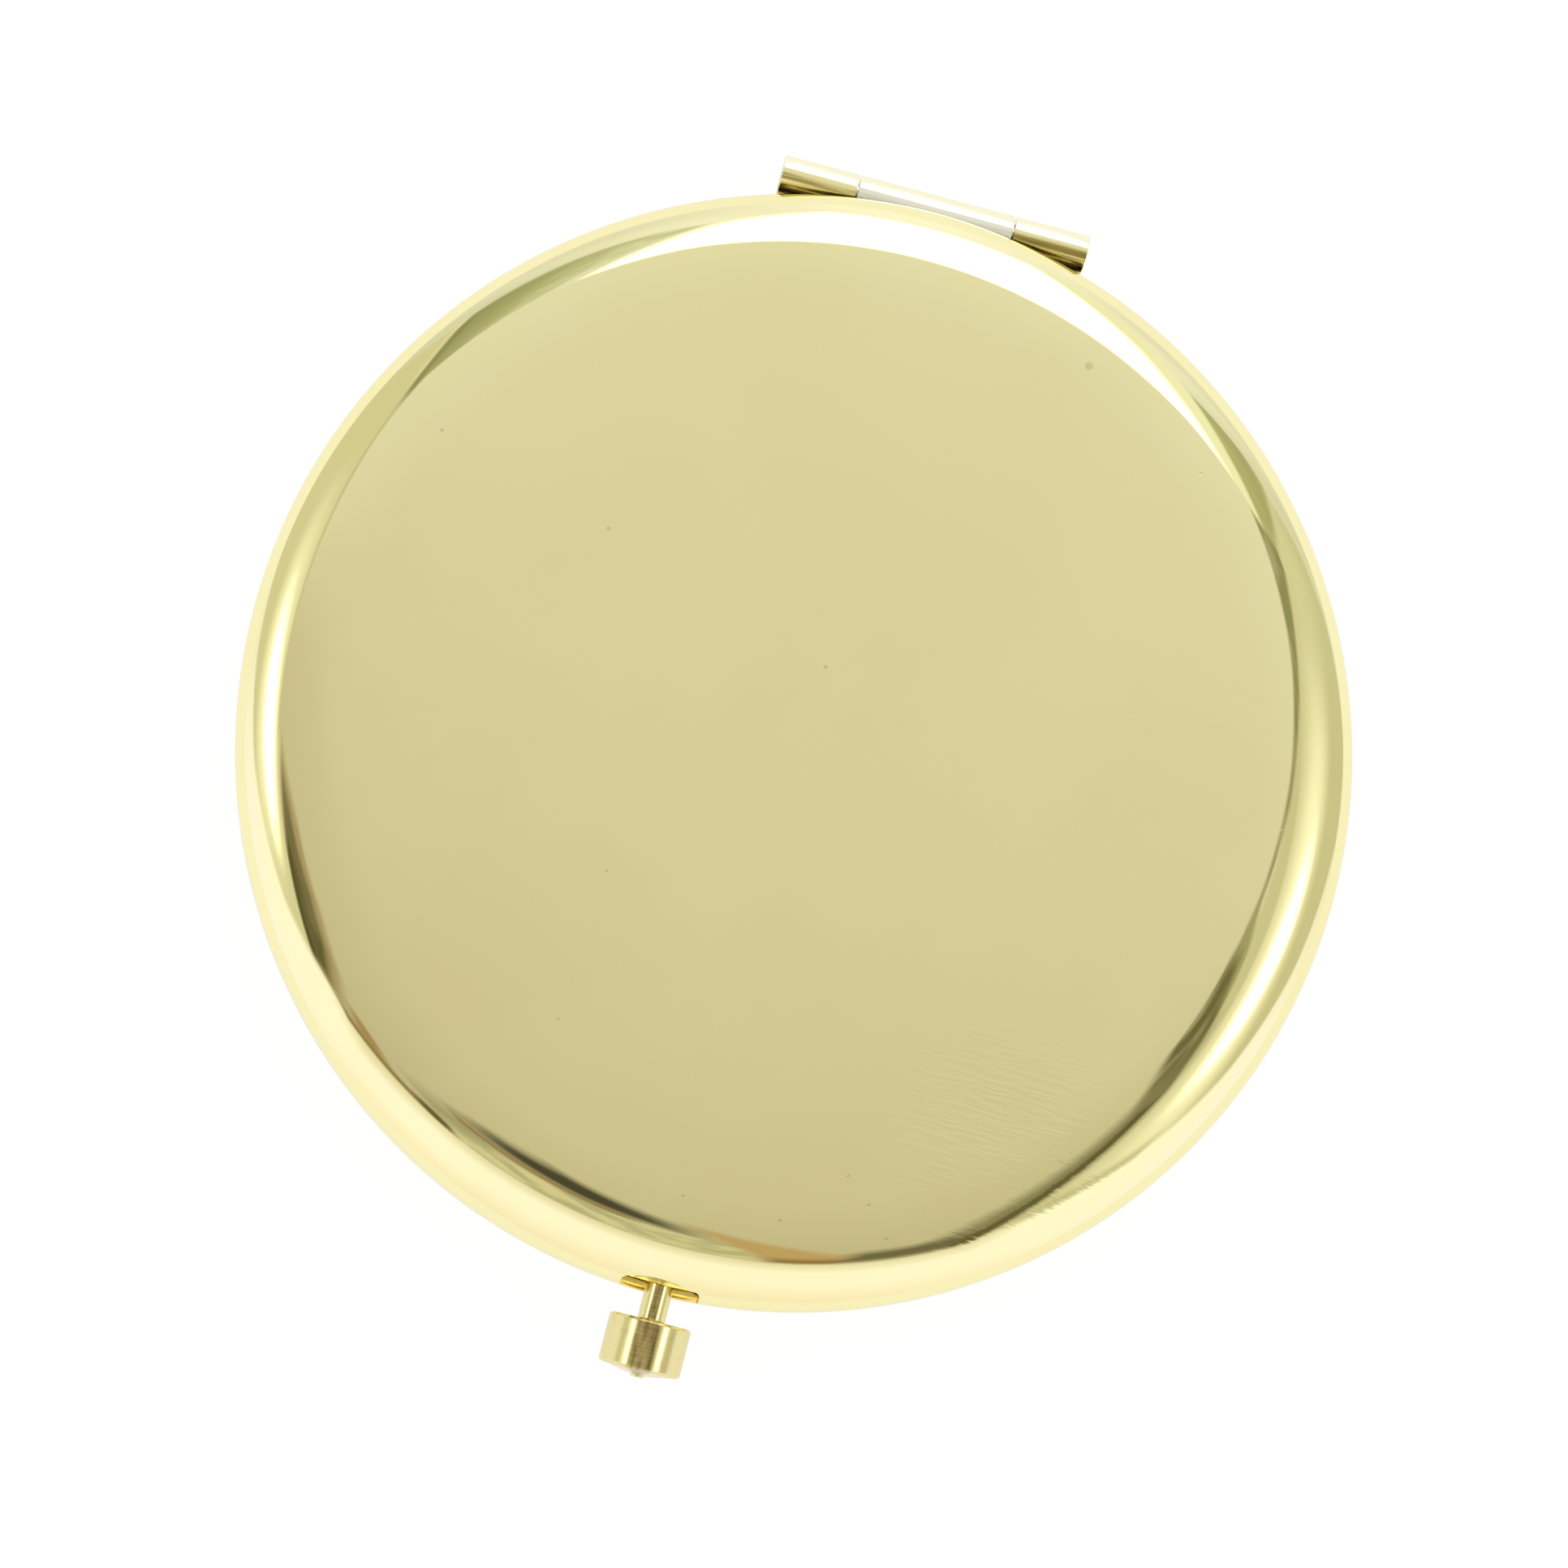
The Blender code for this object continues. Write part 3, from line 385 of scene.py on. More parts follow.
right_edge = [
    (right_line * (mottle * 0.2 + 0.8), OLIVE),
    (card(right_shade, 1.2), (0.36, 0.36, 0.23)),
    (card(right_wedge, 1.2) * (mottle * 0.35 + 0.65), DARK),
    (card([(20.6, -4), (20.4, -24), (26.9, -24), (26.9, -4)], 4.2) * 0.9, (0.22, 0.21, 0.13)),
    (card([(15.5, -23.6), (11.6, -29.8), (26.9, -29.8), (26.9, -23.6)], 3.4) * 0.9, (0.12, 0.11, 0.065)),
    (strip((25.2, -8), (25.6, -29), 2.6, 1.2), (0.13, 0.12, 0.058)),
    (strip((28, -24), (44, -22), 4.0, 3.0) * 0.6, (0.46, 0.45, 0.32)),
]
left_shade = [(-33.8, -4.6), (-34.9, -24.8), (-27.5, -25.5), (-23, -18.5), (-21.4, -12), (-24.6, -7.4)]
left_wedge = [(-33.9, -6.4), (-34.9, -24.5), (-29.5, -24), (-25.0, -17), (-24.8, -12.5), (-29.5, -8)]
front_left = [
    (card(left_shade, 2.2), (0.40, 0.33, 0.22)),
    (card(left_wedge, 2.2) * (slow_mottle * 0.25 + 0.75), (0.13, 0.12, 0.065)),
    (strip((-33.6, -13), (-33.9, -23.6), 2.0, 1.8) * 0.8, (0.075, 0.07, 0.03)),
    (glow((-23.0, -24.8), (2.6, 2.2), 0.6), (0.38, 0.27, 0.14)),
    (strip((-29, -27.3), (-14, -28.8), 2.6, 1.8), (0.28, 0.22, 0.11)),
    (glow((-15.6, -28.2), (2.0, 1.6), 0.6), (0.14, 0.12, 0.06)),
]
rust = tent.mix(v.eased(-25.0, -29.5), (0.52, 0.38, 0.22), (0.28, 0.17, 0.07))
pale_stand = tent.mix(mottle, (0.46, 0.47, 0.36), (0.66, 0.63, 0.48))
rusty_stand = [(3.0, -14), (6, -20), (9.2, -29.6), (15.2, -29.6), (15.8, -26.2), (8.5, -18.5), (4.8, -14.4)]
dark_stand = [
    (-7.4, -17.8), (-1, -19.6), (4.4, -19.6), (4.0, -17.0), (1.2, -13.6), (-1.0, -12.2), (-3.6, -14.2),
]
front_stands = [
    (card([(-10.5, -20.5), (-13.5, -29.6), (9.5, -29.6), (7.5, -20.5)], 1.6), pale_stand),
    (strip((-4, -17.5), (-15, -25), 3.6, 3.4) * 0.6, (0.27, 0.25, 0.17)),
    (card(rusty_stand, 1.4), rust),
    (card(dark_stand, 3.0), (0.085, 0.08, 0.055)),
    (strip((-10.0, -20.0), (1.5, -20.3), 1.9, 1.5) * 0.9, (0.29, 0.21, 0.11)),
    (glow((-1.5, -16.2), (3.6, 1.6), 0.7), (0.07, 0.065, 0.05)),
]
for mask, colour in right_edge + front_left + front_stands:
    studio = tent.mix(mask, studio, colour)
print("dark shapes:", len(right_edge + front_left + front_stands))

# %% [markdown]
# Only reflections and the light itself see that studio. What the camera sees behind the object
# is plain white, and glass would show the same white.

# %% Finish the world
path = tent.add("ShaderNodeLightPath")
plain_white = tent.add("ShaderNodeBackground", None, {0: (1.0, 1.0, 1.0, 1.0), 1: 1.0})
drawn_studio = tent.add("ShaderNodeBackground", None, {0: studio, 1: 1.0})
behind = path.output("Is Camera Ray").at_least(path.output("Is Transmission Ray"))
seen = tent.add("ShaderNodeMixShader", None, {0: behind, 1: drawn_studio, 2: plain_white})
tent.add("ShaderNodeOutputWorld", None, {0: seen})
print("world nodes:", len(world.node_tree.nodes))

# %% [markdown]
# ## Table
# The case lies on a white table. A lit white table would need strong lamps, and those would burn
# out the metal, so the table shines by itself for the camera and in reflections.
# A share of it stays plain matt white, which keeps the soft shadow under the case, and metal
# sees a smaller share of the shine than the camera does, or the rim would be a yellow ring.

# %% Make the table
def new_piece(name, mesh):
    """An object at the origin that shows this mesh."""
    made = bpy.data.objects.new(name, mesh)
    bpy.context.scene.collection.objects.link(made)
    return made


TABLE_SIZE = 1.6
TABLE_DROP = 0.02 * MM
TABLE_SHINE = 1.07
SHINE_LOOKED_AT = 0.86
SHINE_MIRRORED = 0.62
table_mesh = bpy.data.meshes.new("table")
half = TABLE_SIZE / 2
table_corners = [(-half, -half), (half, -half), (half, half), (-half, half)]
table_mesh.from_pydata([(x, y, -TABLE_DROP) for x, y in table_corners], [], [(0, 1, 2, 3)])
table = new_piece("table", table_mesh)
table_white = bpy.data.materials.new("table_white")
table_white.use_nodes = True
table_white.node_tree.nodes.clear()
surface = Tree(table_white.node_tree)
rays = surface.add("ShaderNodeLightPath")
matt = surface.add("ShaderNodeBsdfDiffuse", None, {"Color": (0.9, 0.9, 0.9, 1.0)})
shining = surface.add("ShaderNodeEmission", None, {0: (1.0, 1.0, 1.0, 1.0), 1: TABLE_SHINE})
looked_at = rays.output("Is Camera Ray").at_least(rays.output("Is Transmission Ray")) * SHINE_LOOKED_AT
looked_at = looked_at.at_least(rays.output("Is Glossy Ray") * SHINE_MIRRORED)
shown = surface.add("ShaderNodeMixShader", None, {0: looked_at, 1: matt, 2: shining})
surface.add("ShaderNodeOutputMaterial", None, {0: shown})
table_mesh.materials.append(table_white)
print("table", TABLE_SIZE, "m wide")

# %% [markdown]
# ## Finishes
# Every finish starts from one shader. A colour or roughness that changes over the surface comes
# from noise on Object coordinates, which are metres here, so a noise scale of 1000 makes marks
# of about a millimetre. What is the same all over is written on the shader itself.

# %% A finish to start from
def new_finish(name, **fixed):
    """A material with its tree, its shader and the coordinates of the object."""
    made = bpy.data.materials.new(name)
    made.use_nodes = True
    tree = Tree(made.node_tree)
    shader = made.node_tree.nodes["Principled BSDF"]
    for label, value in fixed.items():
        shader.inputs[label.replace("_", " ")].default_value = value
    return made, tree, shader, tree.add("ShaderNodeTexCoord", output="Object")


def feed(shader, tree, **wires):
    """Links changing values to the shader's sockets."""
    for label, wire in wires.items():
        tree.links.new(wire.socket, shader.inputs[label.replace("_", " ")])


def noise(tree, place, scale, detail=2.0, stretch=(1.0, 1.0, 1.0), turn=(0.0, 0.0, 0.0)):
    """Fine or coarse unevenness, from 0 to 1."""
    mapped = tree.add("ShaderNodeMapping", None, {"Vector": place, "Scale": stretch, "Rotation": turn})
    return tree.add("ShaderNodeTexNoise", None, {"Vector": mapped, "Scale": scale, "Detail": detail})


def bump(tree, height, distance, strength=1.0, normal=None):
    """Raises the surface by a height in metres at most."""
    sockets = {"Height": height, "Distance": distance, "Strength": strength}
    if normal:
        sockets["Normal"] = normal
    return tree.add("ShaderNodeBump", None, sockets)


def marked_finish(name, marks, colours, rough, dent, **fixed):
    """A finish whose colour, roughness and surface all follow one kind of fine mark."""
    made, tree, shader, place = new_finish(name, **fixed)
    mark = noise(tree, place, *marks)
    feed(
        shader,
        tree,
        Base_Color=tree.mix(mark, *colours),
        Roughness=mark * rough[0] + rough[1],
        Normal=bump(tree, mark, dent * MM, 0.5),
    )
    return made


print("finish helpers ready")

# %% [markdown]
# ## Polished gold plate
# The case is stamped, buffed and flash plated in pale gold, then lacquered. The plate is bright
# enough to mirror the room, so its colour is its reflectance. Buffing leaves hair-fine marks and
# handling leaves a faint haze, both far below what shows as texture: they only soften reflections
# here and there.

# %% Make the polished gold
GOLD = (0.99, 0.925, 0.53)
GOLD_THIN = (0.975, 0.905, 0.50)


def polished_gold(name, roughness):
    """Bright gold plate with a faint haze and slow waves from the stamping."""
    made, tree, shader, place = new_finish(name, Metallic=1.0)
    tone = noise(tree, place, 90.0, 3.0).eased(0.3, 0.7)
    haze = noise(tree, place, 260.0, 4.0).eased(0.45, 0.75)
    hair = noise(tree, place, 900.0, 3.0, (1.0, 12.0, 1.0), (0.0, 0.0, math.radians(35)))
    rough = haze * 0.012 + hair * 0.012 + roughness
    waves = noise(tree, place, 120.0, 1.0)
    shape = bump(tree, waves, 0.004 * MM, 0.35)
    feed(shader, tree, Base_Color=tree.mix(tone, GOLD, GOLD_THIN), Roughness=rough, Normal=shape)
    return made, tree, shader, place


shell_gold = polished_gold("polished_gold_case", 0.018)[0]
print("finish:", shell_gold.name)

# %% [markdown]
# The lid's plate is the same, with what a year in a handbag leaves on it: a dozen pinholes and
# specks, and a patch of faint rub marks near the button. Each speck is a place on the face in
# millimetres and a width, so they stay put when the lid opens.

# %% Make the lid's plate
SPECKS = [
    (11.5, 27.7, 0.56), (-26.5, 13.4, 0.24), (-15.0, 10.1, 0.26), (20.0, 23.0, 0.17), (0.2, 5.2, 0.26),
    (-9.8, -10.5, 0.18), (-10.4, -20.1, 0.17), (-0.2, -28.7, 0.18), (6.0, -28.7, 0.18), (9.4, -25.0, 0.18),
    (11.1, -26.4, 0.18), (12.7, -28.1, 0.18), (30.3, 2.7, 0.18),
]
lid_gold, lid_tree, lid_shader, lid_place = polished_gold("polished_gold_lid", 0.018)


def on_lid(operation, *sockets):
    """A Vector Math node of the lid's plate."""
    return lid_tree.add("ShaderNodeVectorMath", {"operation": operation}, dict(enumerate(sockets)))


from_above = on_lid("MULTIPLY", lid_place, (1.0, 1.0, 0.0))


def gap_to(x, y):
    """Distance from a place on the lid, seen from above."""
    return on_lid("DISTANCE", from_above, (x * MM, y * MM, 0.0)).output("Value")


dot = None
for x, y, width in SPECKS:
    gap = gap_to(x, y)
    one = gap.eased(width * 0.6 * MM, width * 0.3 * MM)
    dot = one if dot is None else dot.at_least(one)
print("specks on the lid:", len(SPECKS))

# %% [markdown]
# The specks and rub marks go in as a second layer: darker and duller in the speck, and a shallow
# dent, so that the reflection bends round it as it does round a pinhole.

# %% Lay the specks on the lid's plate
rub_lines = noise(lid_tree, lid_place, 420.0, 1.0, (1.0, 9.0, 1.0), (0.0, 0.0, math.radians(-32)))
rub = gap_to(18.0, -20.5).eased(9.0 * MM, 3.0 * MM) * rub_lines.eased(0.45, 0.62)
old_colour, old_rough, old_normal = [
    Wire(lid_tree, lid_shader.inputs[label].links[0].from_socket)
    for label in ("Base Color", "Roughness", "Normal")
]
speck_dent = bump(lid_tree, 1 - dot, 0.01 * MM, 0.6, old_normal)
feed(
    lid_shader,
    lid_tree,
    Base_Color=lid_tree.mix(dot * 0.35, old_colour, (0.42, 0.38, 0.27)),
    Roughness=old_rough + dot * 0.12 + rub * 0.015,
    Normal=bump(lid_tree, rub, 0.005 * MM, 0.5, speck_dent),
)
print("nodes in the lid's finish:", len(lid_gold.node_tree.nodes))

# %% [markdown]
# ## Other metals
# The button is turned on a lathe, so its marks run round its own axis, which is the case's Y: the
# noise is squeezed along Y and stretched across it. Along its top runs a painted reflection, a dark
# brown band standing for the dark stand above it, and a mask from the place round the axis keeps that to the
# top.

# %% Make the turned gold
turned_gold, tree, shader, place = new_finish("turned_gold_button", Metallic=1.0)
rings_cut = noise(tree, place, 1000.0, 4.0, (0.35, 14.0, 0.35))
blotches = noise(tree, place, 1500.0, 3.0, (0.8, 1.0, 0.8))
place_x, _, place_z = tree.parts(place)
# Painted reflection: a dark brown band along the top of the head and stem, where the dark stand above is
# mirrored.
above_axis = place_z - STEM_Z
lean = place_x / above_axis.at_least(0.1 * MM) + 0.09
top_reflection_band = (lean * lean).eased(0.17, 0.03) * above_axis.eased(0.45 * MM, 0.75 * MM)
plate = tree.mix(blotches.eased(0.55, 0.72) * 0.4, (0.87, 0.77, 0.39), (0.70, 0.56, 0.27))
streaks = noise(tree, place, 1300.0, 4.0, (2.2, 0.35, 0.4))
reflection_streaks = (streaks * 0.7 + rings_cut * 0.3).eased(0.38, 0.62)
reflection_browns = tree.mix(reflection_streaks, (0.25, 0.18, 0.055), (0.60, 0.48, 0.20))
# The base colour carries the painted dark reflection along the top; the streaks only vary its browns.
feed(
    shader,
    tree,
    Base_Color=tree.mix(top_reflection_band * (blotches * 0.3 + 0.75), plate, reflection_browns),
    Roughness=rings_cut * 0.10 + 0.11,
    Normal=bump(tree, rings_cut, 0.004 * MM, 0.5),
)
print("finish:", turned_gold.name)

# %% [markdown]
# The knuckles are strip rolled round the pin. Their outer crown is painted pale gold, a painted highlight,
# and the crook beside the case is painted deep gold with dark lines, a painted warm reflection of the rim,
# so the distance from the pin's axis chooses the colour. A thumb opens the case at the middle knuckle,
# so that one is hazy all round, and its pale colour all round is a painted highlight. The trimmed edges of
# the pans are cut metal, duller and with short shear marks, and their deeper gold is a painted reflection of
# gold on gold.

# %% Make the rolled gold of the hinge and the trimmed edges
LEAF_HAZE = 0.14


def rolled_gold(name, side, crook_reflection, crook_reflection_lines, haze):
    """Gold plate on rolled strip: a painted highlight on the crown, a side, a painted warm reflection with
    dark lines in the crook, and the leaf.
    """
    made, tree, shader, place = new_finish(name, Metallic=1.0)
    beyond_pin = tree.parts(place)[1] - HINGE_Y
    scuffs = noise(tree, place, 900.0, 4.0, (0.5, 3.0, 3.0))
    lines = noise(tree, place, 2300.0, 3.0, (0.025, 1.0, 1.0)).eased(0.44, 0.60)
    # On the case's side of the pin's axis, the deep gold with dark lines is a painted warm reflection of the
    # rim.
    low = tree.mix(beyond_pin.eased(0.15 * MM, -0.1 * MM), side, tree.mix(lines, crook_reflection, crook_reflection_lines))
    leaf = beyond_pin.eased(-0.9 * MM, -1.3 * MM)
    # The pale gold of the crown beyond the pin is a painted highlight.
    barrel_gold = tree.mix(beyond_pin.eased(0.30 * MM, 0.62 * MM), low, (1.0, 0.96, 0.70))
    leaf_gold = tree.mix(lines, (1.0, 0.88, 0.46), (0.82, 0.68, 0.32))
    hazed = beyond_pin.eased(0.15 * MM, -0.4 * MM) * haze + leaf * (LEAF_HAZE - haze)
    feed(
        shader,
        tree,
        Base_Color=tree.mix(leaf, barrel_gold, leaf_gold),
        Roughness=scuffs * 0.08 + hazed + 0.05,
        Normal=bump(tree, scuffs, 0.004 * MM, 0.5),
    )
    return made


hinge_gold = rolled_gold("rolled_gold_hinge", GOLD, (1.0, 0.90, 0.42), (0.48, 0.38, 0.11), LEAF_HAZE)
# The middle knuckle's near-white colours are a painted highlight over the whole knuckle; its haze is
# roughness.
highlit_middle_gold = rolled_gold("rolled_gold_worn", (1.0, 0.98, 0.82), (1.0, 1.0, 0.94), (1.0, 0.99, 0.90), 0.55)
edge_gold, tree, shader, place = new_finish("trimmed_gold_edge", Metallic=1.0)
shear_marks = noise(tree, place, 1500.0, 3.0, (1.0, 1.0, 4.0))
# The deeper gold is a painted reflection of gold on gold in the openings and along the lip; the dullness and
# shear marks are the cut metal's own.
feed(
    shader,
    tree,
    Base_Color=tree.mix(shear_marks.eased(0.35, 0.7), (1.0, 0.83, 0.28), (0.97, 0.76, 0.21)),
    Roughness=shear_marks * 0.12 + 0.24,
    Normal=bump(tree, shear_marks, 0.004 * MM, 0.5),
)
print("finishes:", hinge_gold.name, highlit_middle_gold.name, edge_gold.name)

# %% [markdown]
# The rings are stamped and only tumbled, so they are satin with marks that run round the case.
# Noise that is read at the distance from the case's axis, and not at x and y, gives such circles.

# %% Make the satin ring gold
ring_gold, tree, shader, place = new_finish("satin_gold_ring", Metallic=1.0)
ring_x, ring_y, ring_z = tree.parts(place)
ring_radius = (ring_x * ring_x + ring_y * ring_y) ** 0.5
track = tree.add("ShaderNodeCombineXYZ", None, {0: ring_radius, 2: ring_z})
tracks = tree.add("ShaderNodeTexNoise", None, {"Vector": track, "Scale": 9000.0, "Detail": 3.0})
cloud = noise(tree, place, 300.0, 3.0)
feed(
    shader,
    tree,
    Base_Color=tree.mix(cloud.eased(0.3, 0.7), (0.93, 0.83, 0.50), (0.89, 0.78, 0.45)),
    Roughness=tracks * 0.10 + cloud * 0.05 + 0.12,
    Normal=bump(tree, tracks, 0.003 * MM, 0.35),
)
print("finish:", ring_gold.name)

# %% [markdown]
# The bracket, the slide and the striker are raw brass strip with rolling lines and stains, because
# nobody sees them while the case is shut. Pin, rivets, washer and spring are nickel-plated steel.

# %% Make the brass and the steel
brass, tree, shader, place = new_finish("raw_brass_strip", Metallic=1.0)
rolled = noise(tree, place, 700.0, 4.0, (0.4, 9.0, 9.0))
stain = noise(tree, place, 500.0, 3.0)
feed(
    shader,
    tree,
    Base_Color=tree.mix(stain.eased(0.35, 0.75), (0.90, 0.73, 0.39), (0.78, 0.60, 0.30)),
    Roughness=rolled * 0.14 + stain * 0.06 + 0.14,
    Normal=bump(tree, rolled, 0.003 * MM, 0.4),
)
steel, tree, shader, place = new_finish("nickel_steel", Metallic=1.0)
die_marks = noise(tree, place, 1200.0, 4.0)
smear = noise(tree, place, 500.0, 2.0)
feed(
    shader,
    tree,
    Base_Color=tree.mix(smear.eased(0.3, 0.7), (0.72, 0.71, 0.69), (0.62, 0.61, 0.59)),
    Roughness=die_marks * 0.12 + 0.16,
    Normal=bump(tree, die_marks, 0.002 * MM, 0.4),
)
print("finishes:", brass.name, steel.name)

# %% [markdown]
# ## Mirror glass and foam
# A mirror is silvered at the back of the glass. A second, deeper surface would be costly and
# would not export, so the front is a bright metal with a faint green cast under a clear coat.
# The ground edge is matt and greener, because there one looks into the glass from the side, and
# the back is grey protecting paint. The foam pads are white closed-cell sheet.

# %% Make the glass, its edge, its back and the foam
CLEAR_FRONT = {"Metallic": 1.0, "Coat_Weight": 1.0, "Coat_Roughness": 0.0}
silvered, tree, shader, place = new_finish("silvered_glass", **CLEAR_FRONT)
dust = noise(tree, place, 2500.0, 2.0).eased(0.70, 0.80)
smudge = noise(tree, place, 70.0, 4.0).eased(0.5, 0.8)
feed(
    shader,
    tree,
    Base_Color=tree.mix(dust * 0.25, (0.89, 0.92, 0.905), (0.76, 0.78, 0.76)),
    Roughness=smudge * 0.02 + dust * 0.1 + 0.004,
)
GREENISH = ((0.45, 0.62, 0.55), (0.62, 0.76, 0.70))
GREYS = ((0.30, 0.31, 0.32), (0.40, 0.41, 0.42))
ground_edge = marked_finish("ground_glass_edge", (6000.0, 3.0), GREENISH, (0.3, 0.3), 0.01, IOR=1.5)
backing_paint = marked_finish("mirror_back_paint", (900.0, 4.0), GREYS, (0.2, 0.5), 0.01)
foam, tree, shader, place = new_finish("white_foam_sheet")
cells = tree.add("ShaderNodeTexVoronoi", None, {"Vector": place, "Scale": 4500.0}, "Distance")
feed(
    shader,
    tree,
    Base_Color=tree.mix(cells.clamped(), (0.78, 0.77, 0.72), (0.90, 0.89, 0.85)),
    Roughness=cells * 0.1 + 0.85,
    Normal=bump(tree, cells, 0.03 * MM, 0.7),
)
print("finishes:", silvered.name, ground_edge.name, backing_paint.name, foam.name)

# %% [markdown]
# ## Profiles
# Most pieces of this case are round, so each is drawn once as a profile, a line of (radius,
# height) points, and carried round. Sheet metal has no knife edges: every corner of a profile
# gets a small arc. A guard point beside each arc keeps the smooth shading from leaking on to the
# flat next to it.

# %% Draw profiles with small arcs
GUARD = 0.04 * MM
ARC_STEPS = 4


def soft_line(corners, closed):
    """Corners (radius, height, arc) as a line of points with arcs and guard points."""
    line = []
    for index, (x, y, arc) in enumerate(corners):
        corner = Vector((x, y))
        if arc == 0:
            line.append((x, y))
            continue
        before = Vector(corners[index - 1][:2]) - corner
        after = Vector(corners[(index + 1) % len(corners)][:2]) - corner
        half_angle = before.angle(after) / 2
        reach = arc / math.tan(half_angle)
        inwards = (before.normalized() + after.normalized()).normalized()
        centre = corner + inwards * (arc / math.sin(half_angle))
        first = corner + before.normalized() * reach
        last = corner + after.normalized() * reach
        if before.length > 3 * (reach + GUARD):
            line.append(tuple(first + before.normalized() * GUARD))
        start = math.atan2(first.y - centre.y, first.x - centre.x)
        sweep = math.remainder(math.atan2(last.y - centre.y, last.x - centre.x) - start, 2 * math.pi)
        for step in range(ARC_STEPS + 1):
            angle = start + sweep * step / ARC_STEPS
            line.append((centre.x + arc * math.cos(angle), centre.y + arc * math.sin(angle)))
        if after.length > 3 * (reach + GUARD):
            line.append(tuple(last + after.normalized() * GUARD))
    return line, closed


def drawn(corners, closed=False):
    """A soft line from corners in millimetres."""
    return soft_line([(x * MM, y * MM, arc * MM) for x, y, arc in corners], closed)


def profile_mesh(name, line, closed):
    """The profile as a mesh of edges only."""
    edges = [(index, index + 1) for index in range(len(line) - 1)]
    if closed:
        edges.append((len(line) - 1, 0))
    mesh = bpy.data.meshes.new(name)
    mesh.from_pydata([(x, y, 0.0) for x, y in line], edges, [])
    return mesh


print("arcs of", ARC_STEPS, "steps")

# %% [markdown]
# ## The lathe
# Geometry Nodes can turn the profile: it becomes a curve, and Curve to Mesh carries it round a
# circle. The profile is set back by the circle's radius so that it lands where it was drawn.
# The points on the axis then meet and are merged, and a last step turns and places the piece, so
# one tree makes the pans, rings, glass, pads, pin, washer, rivet and button.

# %% Build the lathe tree
def geometry_tree(name, inputs):
    """An empty tree with named inputs: the group, its Tree and a Wire for each input."""
    group = bpy.data.node_groups.new(name, "GeometryNodeTree")
    group.interface.new_socket("Geometry", in_out="INPUT", socket_type="NodeSocketGeometry")
    for label, kind in inputs.items():
        group.interface.new_socket(label, in_out="INPUT", socket_type="NodeSocket" + kind)
    group.interface.new_socket("Geometry", in_out="OUTPUT", socket_type="NodeSocketGeometry")
    tree = Tree(group)
    outputs = tree.add("NodeGroupInput").socket.node.outputs
    return group, tree, {socket.name: Wire(tree, socket) for socket in outputs if socket.name}


def end_tree(tree, shape, given):
    """Places the shape if the tree is told where, makes it real and gives it its finish."""
    if "Place" in given:
        sockets = {"Geometry": shape, "Rotation": given["Turn"], "Translation": given["Place"]}
        shape = tree.add("GeometryNodeTransform", None, sockets)
    real = tree.add("GeometryNodeRealizeInstances", None, {0: shape})
    coated = tree.add("GeometryNodeSetMaterial", None, {"Geometry": real, "Material": given["Finish"]})
    tree.add("NodeGroupOutput", None, {0: coated})


PLACING = {"Turn": "Vector", "Place": "Vector", "Finish": "Material"}
LATHE_INPUTS = {"Steps": "Int", "Circle Radius": "Float", "Join Distance": "Float", **PLACING}
lathe, tree, given = geometry_tree("lathe", LATHE_INPUTS)
radius = given["Circle Radius"]
set_back = tree.add("ShaderNodeCombineXYZ", None, {0: 0.0 - radius})
moved = tree.add("GeometryNodeTransform", None, {"Geometry": given["Geometry"], "Translation": set_back})
line = tree.add("GeometryNodeMeshToCurve", None, {0: moved})
circle = tree.add("GeometryNodeCurvePrimitiveCircle", None, {"Resolution": given["Steps"], "Radius": radius})
swept = tree.add("GeometryNodeCurveToMesh", None, {"Curve": circle, "Profile Curve": line})
weld = {"Geometry": swept, "Distance": given["Join Distance"]}
joined = tree.add("GeometryNodeMergeByDistance", None, weld)
end_tree(tree, joined, given)
print("lathe nodes:", len(lathe.nodes))

# %% [markdown]
# A tree's inputs are set by their identifiers, because two inputs may share a name. The result is
# taken out as a plain mesh and the modifier goes, so nothing is left to work out later. A lathe
# may turn a mesh inside out, so the volume is measured and the faces are flipped if it is
# negative.

# %% Run a tree and keep its mesh
CREASE = math.radians(28)


def evaluated_mesh(piece):
    """A piece's mesh as its modifiers leave it."""
    bpy.context.view_layer.update()
    evaluated = piece.evaluated_get(bpy.context.evaluated_depsgraph_get())
    return bpy.data.meshes.new_from_object(evaluated)


def run_tree(group, mesh, values):
    """The plain mesh that a tree makes from a start mesh."""
    holder = new_piece(mesh.name, mesh)
    modifier = holder.modifiers.new(group.name, "NODES")
    modifier.node_group = group
    for item in group.interface.items_tree:
        if item.in_out == "INPUT" and item.name in values:
            modifier[item.identifier] = values[item.name]
    made = evaluated_mesh(holder)
    bpy.data.objects.remove(holder)
    return made


def face_out(piece):
    """Flips a closed piece that is inside out, and shades it smooth with crisp corners."""
    body = bmesh.new()
    body.from_mesh(piece.data)
    if body.calc_volume(signed=True) < 0:
        bmesh.ops.reverse_faces(body, faces=body.faces)
    open_edges = sum(1 for edge in body.edges if len(edge.link_faces) != 2)
    body.to_mesh(piece.data)
    body.free()
    piece.data.shade_smooth()
    piece.data.set_sharp_from_angle(angle=CREASE)
    print(piece.name, len(piece.data.polygons), "faces,", open_edges, "open edges")


